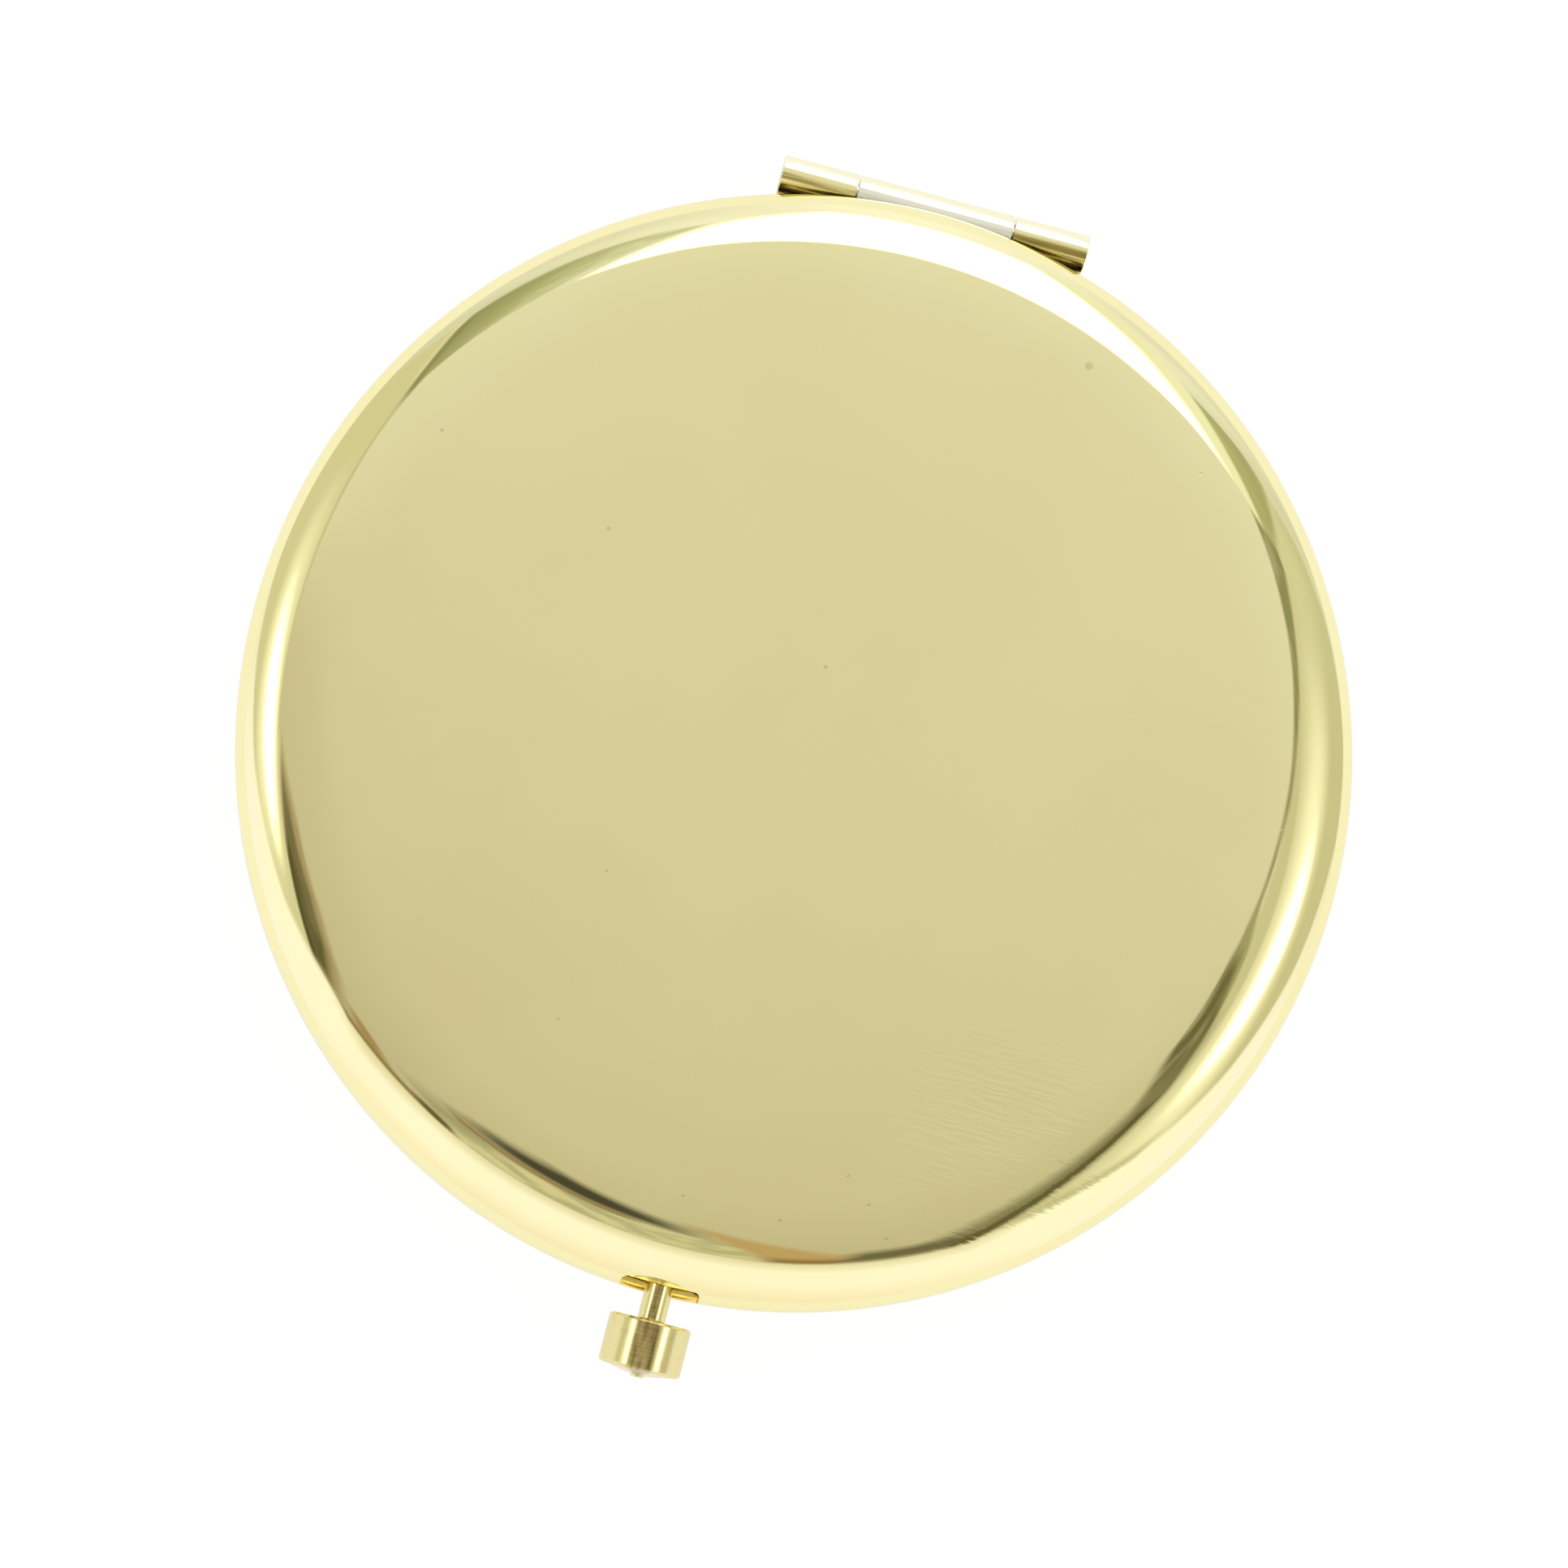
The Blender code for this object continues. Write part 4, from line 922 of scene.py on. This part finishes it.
def turned(name, profile, finish, steps=360, turn=(0.0, 0.0, 0.0), place=(0.0, 0.0, 0.0)):
    """A turned piece from its profile. Heights are drawn downwards, as the sweep turns them over."""
    line, closed = profile
    mesh = profile_mesh(name, [(radius, -height) for radius, height in line], closed)
    values = {
        "Steps": steps, "Circle Radius": 10.0 * MM, "Join Distance": 0.0001 * MM,
        "Turn": turn, "Place": place, "Finish": finish,
    }
    piece = new_piece(name, run_tree(lathe, mesh, values))
    face_out(piece)
    return piece


def overturned(profile):
    """The same profile in the lid, upside down about the parting plane."""
    line, closed = profile
    return [(radius, CASE_HEIGHT - height) for radius, height in line], closed


print("creases stay sharp from", round(math.degrees(CREASE)), "degrees")

# %% [markdown]
# ## Cuts
# The pans and rings have openings for the hinge, the button and the catch. A Boolean takes a
# cutter away from the finished round piece, exactly as a punch does. The cutter has the small
# corner arcs of the punch.

# %% Punch openings
def prism(name, outline, start, length, axes):
    """A flat outline with a length. Axes name the outline's two directions and the length's."""
    body = bmesh.new()
    rows = []
    for along in (start, start + length):
        rows.append([body.verts.new(axes[0] * a + axes[1] * b + axes[2] * along) for a, b in outline])
    count = len(outline)
    for index in range(count):
        after = (index + 1) % count
        body.faces.new((rows[0][index], rows[0][after], rows[1][after], rows[1][index]))
    body.faces.new(rows[0][::-1])
    body.faces.new(rows[1])
    bmesh.ops.recalc_face_normals(body, faces=body.faces)
    mesh = bpy.data.meshes.new(name)
    body.to_mesh(mesh)
    body.free()
    return mesh


X_AXIS = Vector((1.0, 0.0, 0.0))
Y_AXIS = Vector((0.0, 1.0, 0.0))
Z_AXIS = Vector((0.0, 0.0, 1.0))


def apply_modifiers(piece):
    """Makes a piece's modifiers part of its mesh."""
    made = evaluated_mesh(piece)
    piece.modifiers.clear()
    piece.data = made
    face_out(piece)


def punch(piece, cutters, cut_finish=None):
    """Takes the cutters' shapes out of a piece. The cut faces may get a finish of their own."""
    tools = []
    if cut_finish:
        piece.data.materials.append(cut_finish)
    for index, mesh in enumerate(cutters):
        if cut_finish:
            mesh.materials.append(piece.data.materials[0])
            mesh.materials.append(cut_finish)
            mesh.polygons.foreach_set("material_index", [1] * len(mesh.polygons))
        tool = new_piece(f"{piece.name}_cutter_{index}", mesh)
        boolean = piece.modifiers.new("punch", "BOOLEAN")
        boolean.operation = "DIFFERENCE"
        boolean.solver = "EXACT"
        boolean.object = tool
        tools.append(tool)
    apply_modifiers(piece)
    for tool in tools:
        bpy.data.objects.remove(tool)


def rectangle(half_width, low, high, arc=0.0):
    """A rectangle in millimetres, centred left to right, with arcs at its corners."""
    places = [(-half_width, low), (half_width, low), (half_width, high), (-half_width, high)]
    return drawn([(x, y, arc) for x, y in places], True)[0]


def level_cut(name, outline, start, length):
    """A cutter with its outline in x and z, and its length, in millimetres, along y."""
    return prism(name, outline, start * MM, length * MM, (X_AXIS, Z_AXIS, Y_AXIS))


print("cutters ready")

# %% [markdown]
# ## The two pans
# Each half is one stamped disc: a face, a shoulder that is a quarter of an ellipse, and a short
# skirt. A stamped face is never dead flat. It falls off by a hair towards its edge and turns into
# the shoulder without a kink, and that is what makes its calm reflection slide smoothly outwards.

# %% Draw the pan's profile
FACE_FALL = math.tan(math.radians(1.5))
SOFT = 1.0 * MM
FACE_RADII = [0, 4, 8, 12, 15, 17, 19, 20.5, 22, 23, 24, 25, 25.75, 26.5, 27, 27.5, 28, 28.4]
SHOULDER_STEPS = 56
INSIDE_STEPS = 24
LEAD_IN = 0.4 * MM


def pan_depth(radius, width, height):
    """Depth of the pan's surface under the middle of its face, for a shoulder of this size."""
    beyond = radius - FACE_RADIUS
    outward = min(1.0, max(0.0, beyond / (CASE_RADIUS - FACE_RADIUS)))
    fall = FACE_FALL * FACE_RADIUS / 4 * min(1.0, radius / FACE_RADIUS) ** 4
    fall += FACE_FALL * (CASE_RADIUS - FACE_RADIUS) * (1 - (1 - outward) ** 3) / 3
    reach = (math.hypot(width, SOFT) + width) / 2
    spread = min(1.0, (math.hypot(beyond, SOFT) + beyond) / 2 / reach)
    return fall + height * (1 - math.sqrt(1 - spread * spread))


def pan_side(width, height, steps):
    """Points of one side of the sheet, from the middle to the end of the shoulder."""
    reach = (math.hypot(width, SOFT) + width) / 2
    radii = [radius * MM for radius in FACE_RADII]
    first = math.asin((math.hypot(LEAD_IN, SOFT) - LEAD_IN) / 2 / reach)
    for step in range(steps + 1):
        spread = reach * math.sin(first + (math.pi / 2 - first) * step / steps)
        radii.append(FACE_RADIUS + spread - SOFT * SOFT / (4 * spread))
    return [(radius, pan_depth(radius, width, height)) for radius in radii]


def shell_line(rim):
    """Outside of the pan from its middle, round the rim's corners, then the inside back."""
    outside = pan_side(SHOULDER_WIDTH, SHOULDER_HEIGHT, SHOULDER_STEPS)
    inside = pan_side(SHOULDER_WIDTH - SHEET, SHOULDER_HEIGHT - SHEET, INSIDE_STEPS)
    inside = [(radius, SHEET + depth) for radius, depth in inside]
    wall_end, _ = soft_line([(*outside[-1], 0), *rim, (*inside[-1], 0)], False)
    return outside + wall_end[1:-1] + inside[::-1], False


face_edge_depth = pan_depth(FACE_RADIUS, SHOULDER_WIDTH, SHOULDER_HEIGHT)
print("face falls by", round(face_edge_depth / MM, 3), "mm at its edge")

# %% [markdown]
# The lid's wall is trimmed square. The base's is trimmed too and then rolled inwards to a bead,
# which stiffens the half that stands on the table and gives the lid's rim something to close on.
# Trimming lays the edge bare, and the edge finish paints it a deeper gold, a painted reflection of gold
# on gold; the openings are punched out afterwards.

# %% Make the pans
WALL = CASE_RADIUS - SHEET
BEAD = 0.17 * MM
LID_RIM = [(CASE_RADIUS, HALF_HEIGHT, 0.18 * MM), (WALL, HALF_HEIGHT, 0.15 * MM)]
BASE_RIM = [
    (CASE_RADIUS, HALF_HEIGHT, 0.45 * MM), (WALL - BEAD, HALF_HEIGHT, 0.12 * MM),
    (WALL - BEAD, HALF_HEIGHT - 0.3 * MM, 0.1 * MM), (WALL, HALF_HEIGHT - 0.5 * MM, 0.05 * MM),
]
HINGE_HALF_OPENING = 10.225
HINGE_CUT = rectangle(HINGE_HALF_OPENING, 3.1, 5.8)
STEM_CUT = rectangle(2.5, 2.0, 7.025, 0.4)
base_shell = turned("base_pan", shell_line(BASE_RIM), shell_gold)
lid_shell = turned("lid_pan", overturned(shell_line(LID_RIM)), lid_gold)
punch(base_shell, [level_cut("hinge_cut", HINGE_CUT, 29, 8)], edge_gold)
lid_cuts = [level_cut("hinge_cut", HINGE_CUT, 29, 8), level_cut("stem_cut", STEM_CUT, -37, 8)]
punch(lid_shell, lid_cuts, edge_gold)


def finish_trim(pan, parting, height):
    """The end of a pan's wall gets the edge finish, up to a height from the parting plane."""
    count = 0
    for face in pan.data.polygons:
        on_wall = math.hypot(face.center.x, face.center.y) > WALL - SHEET
        if on_wall and abs(face.center.z - parting) < height:
            face.material_index = 1
            count += 1
    print(pan.name, "trimmed faces:", count)


# The trimmed ends take the edge finish and its painted deep-gold reflection.
finish_trim(base_shell, HALF_HEIGHT, 0.4 * MM)
finish_trim(lid_shell, CASE_HEIGHT - HALF_HEIGHT, 0.1 * MM)

# %% [markdown]
# ## Bezel rings
# A stamped ring laps over the edge of each glass and turns down at its outside, so that the pan's
# wall hides its raw edge. It is cut away at the hinge's barrel, and in the lid at the catch.

# %% Make the bezel rings
ring_line = drawn(
    [
        (34.129, 3.5, 0.12), (34.129, 2.6, 0.06), (33.729, 2.6, 0.06),
        (33.729, 3.1, 0.05), (27.2, 3.1, 0.12), (27.2, 3.5, 0.12),
    ],
    True,
)
HOLE_RADIUS = 0.35 * MM


def rivet_holes(places):
    """One mesh of upright round cutters."""
    body = bmesh.new()
    for x, y in places:
        bmesh.ops.create_cone(
            body,
            cap_ends=True,
            segments=24,
            radius1=HOLE_RADIUS,
            radius2=HOLE_RADIUS,
            depth=CASE_HEIGHT,
            matrix=Matrix.Translation((x * MM, y * MM, PARTING_Z)),
        )
    mesh = bpy.data.meshes.new("rivet_holes")
    body.to_mesh(mesh)
    body.free()
    return mesh


KNUCKLE_X = 7.525
BASE_RIVETS = [(-KNUCKLE_X, 32.0), (KNUCKLE_X, 32.0), (-3.45, -31.2), (3.45, -31.2)]
LID_HINGE_RIVETS = [(-3.0, 32.0), (3.0, 32.0)]
STRIKER_RIVETS = [(-3.95, -32.6), (3.95, -32.6)]
CHORD = rectangle(HINGE_HALF_OPENING, 0.0, CASE_HEIGHT / MM)
SLOT = rectangle(2.7, -36, -28, 0.1)
base_ring = turned("base_ring", ring_line, ring_gold)
lid_ring = turned("lid_ring", overturned(ring_line), ring_gold)
punch(base_ring, [level_cut("chord_cut", CHORD, 33.6, 3), rivet_holes(BASE_RIVETS)])
slot_cut = prism("slot_cut", SLOT, 4.6 * MM, 4 * MM, (X_AXIS, Y_AXIS, Z_AXIS))
lid_holes = rivet_holes(LID_HINGE_RIVETS + STRIKER_RIVETS)
punch(lid_ring, [level_cut("chord_cut", CHORD, 33.6, 3), slot_cut, lid_holes])

# %% [markdown]
# ## Mirrors
# The lid's mirror is plain and the base's is slightly hollow, which magnifies. Both are blanks of
# 1.2 mm glass with a ground edge. The hollow is a shallow bowl, deepest in the middle, and the
# bent glass keeps its thickness. The front, the edge and the back have a finish each.

# %% Make the mirrors
GROUND_OFF = 0.15 * MM
BOWL_STEPS = 24


def glass_line(sag):
    """Front from the middle to the ground edge, then the back."""
    flat = GLASS_RADIUS - GROUND_OFF
    bowl = [flat * step / BOWL_STEPS for step in range(BOWL_STEPS + 1)]
    radii = bowl if sag else [0.0, 20 * MM, 27 * MM, flat]
    front = [(radius, GLASS_TOP - sag * (1 - (radius / flat) ** 2)) for radius in radii]
    rear = [(radius, height - GLASS_THICKNESS) for radius, height in front]
    edge_heights = (GLASS_TOP - GROUND_OFF, GLASS_TOP - GLASS_THICKNESS + GROUND_OFF)
    return front + [(GLASS_RADIUS, height) for height in edge_heights] + rear[::-1], False


def finish_glass(piece, front):
    """Silvered on the side that looks along front, painted on the other, ground between."""
    piece.data.materials.append(ground_edge)
    piece.data.materials.append(backing_paint)
    counts = [0, 0, 0]
    for face in piece.data.polygons:
        facing = face.normal.z * front
        face.material_index = 0 if facing > 0.9 else 2 if facing < -0.9 else 1
        counts[face.material_index] += 1
    print(piece.name, "front, edge and back faces:", counts)


base_glass = turned("base_glass", glass_line(0.5 * MM), silvered, 240)
lid_glass = turned("lid_glass", overturned(glass_line(0.0)), silvered, 240)
finish_glass(base_glass, 1)
finish_glass(lid_glass, -1)

# %% [markdown]
# ## Foam pads
# A pad keeps each glass from rattling: a ring under the hollow one and a disc behind the flat one.
# It is squeezed thin, so its faces are flat and its edges bulge. A pad this thin needs no cloth
# simulation; its rounded edge is drawn in the profile.

# %% Make the foam pads
pad_ring = drawn([(27.5, 1.2, 0.16), (27.5, 0.8, 0.16), (21.5, 0.8, 0.16), (21.5, 1.2, 0.16)], True)
pad_disc = drawn([(0.0, 1.3, 0), (27.5, 1.3, 0.2), (27.5, 0.8, 0.2), (0.0, 0.8, 0)])
base_pad = turned("base_pad", pad_ring, foam, 180)
lid_pad = turned("lid_pad", overturned(pad_disc), foam, 180)

# %% [markdown]
# ## Hinge
# Each knuckle is a strip rolled round the pin, with a flat leaf that is riveted under the ring.
# The rolled end stops just short of the leaf and leaves the fine seam of a real hinge. The
# section is drawn in fine arcs and drawn out along the pin, and a Bevel breaks its cut ends.

# %% Make the knuckles
KNUCKLE_ARC = 72
BARREL_RADIUS = 1.2 * MM
BORE_RADIUS = 0.7 * MM
LEAF_NEAR = 0.15 * MM
LEAF_FAR = 0.65 * MM
LEAF_REACH = 3.9 * MM


def knuckle_outline(side):
    """Section of a rolled knuckle as (y, z) from the pin's axis. Side is -1 on the base."""
    start = math.pi + math.asin(LEAF_FAR / BARREL_RADIUS)
    stop = math.pi + math.asin(LEAF_NEAR / BORE_RADIUS)
    line = []
    for radius, first, last in ((BARREL_RADIUS, start, 3 * math.pi), (BORE_RADIUS, 3 * math.pi, stop)):
        for step in range(KNUCKLE_ARC + 1):
            angle = first + (last - first) * step / KNUCKLE_ARC
            line.append((radius * math.cos(angle), radius * math.sin(angle)))
    line += [(-LEAF_REACH, -LEAF_NEAR), (-LEAF_REACH, -LEAF_FAR)]
    return [(HINGE_Y + y, PARTING_Z - side * z) for y, z in line]


def break_edges(piece, width, segments=3, angle=50.0):
    """Rounds the sharp edges of a piece by a small width."""
    bevel = piece.modifiers.new("broken_edges", "BEVEL")
    bevel.width = width
    bevel.segments = segments
    bevel.limit_method = "ANGLE"
    bevel.angle_limit = math.radians(angle)
    bevel.use_clamp_overlap = True
    apply_modifiers(piece)


def knuckle(name, middle, length, side, finish):
    """One knuckle with its leaf, from its middle and length in millimetres."""
    axes = (Y_AXIS, Z_AXIS, X_AXIS)
    mesh = prism(name, knuckle_outline(side), (middle - length / 2) * MM, length * MM, axes)
    mesh.materials.append(finish)
    piece = new_piece(name, mesh)
    break_edges(piece, 0.06 * MM)
    return piece


knuckle_left = knuckle("knuckle_left", -KNUCKLE_X, 4.8, -1, hinge_gold)
knuckle_right = knuckle("knuckle_right", KNUCKLE_X, 4.8, -1, hinge_gold)
knuckle_middle = knuckle("knuckle_middle", 0.0, 10.05, 1, highlit_middle_gold)
pin_line = drawn([(0.0, 9.925, 0), (0.65, 9.925, 0.12), (0.65, -9.925, 0.12), (0.0, -9.925, 0)])
pin = turned("pin", pin_line, steel, 48, (0.0, math.radians(90), 0.0), (0.0, HINGE_Y, PARTING_Z))

# %% [markdown]
# ## Push button
# Head, stem and tail are turned from one bar. The head ends in a flat cone with the little nub
# that the parting tool leaves. It is drawn outwards from the case's edge and laid along -Y.

# %% Make the button and the washer
ALONG_FRONT = (math.radians(90), 0.0, 0.0)
CASE_EDGE = (0.0, -CASE_RADIUS, STEM_Z)
button_line = drawn(
    [
        (0.0, 5.22, 0), (0.42, 5.22, 0.06), (0.42, 5.10, 0.02), (2.45, 4.75, 0.05),
        (2.6, 4.60, 0.05), (2.6, 1.75, 0.05), (2.45, 1.60, 0.05), (0.875, 1.60, 0.08),
        (0.875, -1.65, 0.05), (0.55, -1.65, 0.04), (0.55, -4.6, 0.15), (0.0, -4.6, 0),
    ]
)
button = turned("button", button_line, turned_gold, 128, ALONG_FRONT, CASE_EDGE)
washer_line = drawn([(1.0, 0.2, 0.05), (1.0, 0.0, 0.05), (0.6, 0.0, 0.03), (0.6, 0.2, 0.03)], True)
washer = turned("washer", washer_line, steel, 64, ALONG_FRONT, (0.0, -32.65 * MM, STEM_Z))

# %% [markdown]
# ## Rivets
# Eight alike rivets hold the leaves, the bracket and the striker. One rivet is turned and a small
# tree puts a copy on each point of a handful, one handful for each half. Copies of one mesh are
# what Geometry Nodes are best at, and moving a rivet means moving one point.

# %% Build the rivet tree and set the rivets
rivet_line = drawn(
    [
        (0.0, 1.45, 0), (0.475, 1.45, 0.12), (0.475, 1.25, 0.02), (0.3, 1.25, 0.02),
        (0.3, -0.05, 0.02), (0.475, -0.05, 0.02), (0.475, -0.25, 0.12), (0.0, -0.25, 0),
    ]
)
one_rivet = turned("one_rivet", rivet_line, steel, 32)
rivet_row, tree, given = geometry_tree("rivet_row", {"Rivet": "Object", "Finish": "Material"})
pattern = tree.add("GeometryNodeObjectInfo", None, {"Object": given["Rivet"]}, "Geometry")
spots = tree.add("GeometryNodeMeshToPoints", None, {"Mesh": given["Geometry"]})
set_rivets = tree.add("GeometryNodeInstanceOnPoints", None, {"Points": spots, "Instance": pattern})
end_tree(tree, set_rivets, given)


def rivets(name, points):
    """Rivets at points (x, y, foot of the shank), as one piece."""
    mesh = bpy.data.meshes.new(name)
    mesh.from_pydata([(x * MM, y * MM, z * MM) for x, y, z in points], [], [])
    piece = new_piece(name, run_tree(rivet_row, mesh, {"Rivet": one_rivet, "Finish": steel}))
    face_out(piece)
    return piece


base_rivets = rivets("base_rivets", [(x, y, 3.1) for x, y in BASE_RIVETS])
lid_points = [(x, y, 4.6) for x, y in LID_HINGE_RIVETS] + [(x, y, 5.4) for x, y in STRIKER_RIVETS]
lid_rivets = rivets("lid_rivets", lid_points)
bpy.data.objects.remove(one_rivet)

# %% [markdown]
# ## Return spring
# A helix is a rule, so it is a tree as well: a spiral curve, whose pitch is eased to nothing
# extra at both ends the way a spring maker closes them, and a round wire swept along it.

# %% Build the spring tree and wind the spring
COIL_SIZES = ("Turns", "Coil Radius", "Length", "Wire Radius", "Closing")
coil, tree, given = geometry_tree("coil", {**{size: "Float" for size in COIL_SIZES}, **PLACING})
spiral = tree.add(
    "GeometryNodeCurveSpiral",
    None,
    {"Resolution": 40, "Rotations": given["Turns"], "Start Radius": given["Coil Radius"],
     "End Radius": given["Coil Radius"], "Height": given["Length"]},
)
share = tree.add("GeometryNodeSplineParameter", output="Factor")
ease = tree.add("ShaderNodeMath", {"operation": "SINE"}, {0: share * (2 * math.pi)})
closing = ease * given["Closing"] * given["Length"] / (2 * math.pi)
shift = tree.add("ShaderNodeCombineXYZ", None, {2: 0.0 - closing})
eased = tree.add("GeometryNodeSetPosition", None, {"Geometry": spiral, "Offset": shift})
wire = tree.add("GeometryNodeCurvePrimitiveCircle", None, {"Resolution": 14, "Radius": given["Wire Radius"]})
wound = tree.add("GeometryNodeCurveToMesh", None, {"Curve": eased, "Profile Curve": wire, "Fill Caps": True})
end_tree(tree, wound, given)
spring_values = {
    "Turns": 4.4, "Coil Radius": 0.85 * MM, "Length": 3.35 * MM, "Wire Radius": 0.15 * MM,
    "Closing": 0.55, "Turn": ALONG_FRONT, "Place": (0.0, -29.05 * MM, STEM_Z), "Finish": steel,
}
spring = new_piece("spring", run_tree(coil, bpy.data.meshes.new("spring"), spring_values))
closed_ends = spring.modifiers.new("closed_ends", "WELD")
closed_ends.merge_threshold = 0.0001 * MM
apply_modifiers(spring)

# %% [markdown]
# ## Catch
# The bracket, the slide and the striker are bent brass strip. Their solids already have the right
# shape, so their meshes are copied, merged, and their sharp edges broken by a small Bevel, as
# tumbling does to small strip parts.

# %% Refine the catch
def refined(name, node):
    """A finer copy of a solid of the catch."""
    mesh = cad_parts[node].data.copy()
    mesh.transform(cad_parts[node].matrix_world)
    body = bmesh.new()
    body.from_mesh(mesh)
    bmesh.ops.remove_doubles(body, verts=body.verts, dist=0.0005 * MM)
    bmesh.ops.dissolve_limit(body, angle_limit=math.radians(1), verts=body.verts, edges=body.edges)
    body.to_mesh(mesh)
    body.free()
    mesh.materials.clear()
    mesh.materials.append(brass)
    piece = new_piece(name, mesh)
    break_edges(piece, 0.04 * MM, 2, 40.0)
    return piece


bracket = refined("bracket", "latch_bracket")
slide = refined("slide", "latch_slide")
striker = refined("striker", "lid_striker")

# %% [markdown]
# ## Put it together
# Every piece says which solids it stands for, which body it moves with and which finish of the
# record it shows.

# %% Say what each piece stands for
def pairs(*kinds):
    """The names of the left and the right rivet of each kind."""
    return [f"{kind}_rivet_{side}" for kind in kinds for side in ("left", "right")]


PIECES = [
    (base_shell, "base", "polished_gold", ["base_shell"]),
    (base_ring, "base", "ring_gold", ["base_bezel_ring"]),
    (base_glass, "base", "silvered_glass", ["base_mirror"]),
    (base_pad, "base", "foam", ["base_backing_pad"]),
    (knuckle_left, "base", "polished_gold", ["base_hinge_knuckle_left"]),
    (knuckle_right, "base", "polished_gold", ["base_hinge_knuckle_right"]),
    (pin, "base", "steel", ["hinge_pin"]),
    (bracket, "base", "brass", ["latch_bracket"]),
    (spring, "base", "steel", ["return_spring"]),
    (base_rivets, "base", "steel", pairs("base_hinge", "bracket")),
    (lid_shell, "lid", "polished_gold", ["lid_shell"]),
    (lid_ring, "lid", "ring_gold", ["lid_bezel_ring"]),
    (lid_glass, "lid", "silvered_glass", ["lid_mirror"]),
    (lid_pad, "lid", "foam", ["lid_backing_pad"]),
    (knuckle_middle, "lid", "polished_gold", ["lid_hinge_knuckle"]),
    (striker, "lid", "brass", ["lid_striker"]),
    (lid_rivets, "lid", "steel", pairs("lid_hinge", "striker")),
    (button, "button", "polished_gold", ["push_button"]),
    (slide, "button", "brass", ["latch_slide"]),
    (washer, "button", "steel", ["spring_washer"]),
]
triangles = 0
for piece, body, slot_name, nodes in PIECES:
    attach(piece, body)
    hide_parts(*nodes)
    piece.data.calc_loop_triangles()
    triangles += len(piece.data.loop_triangles)
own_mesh(spring)
print("pieces:", len(PIECES), "triangles:", triangles)
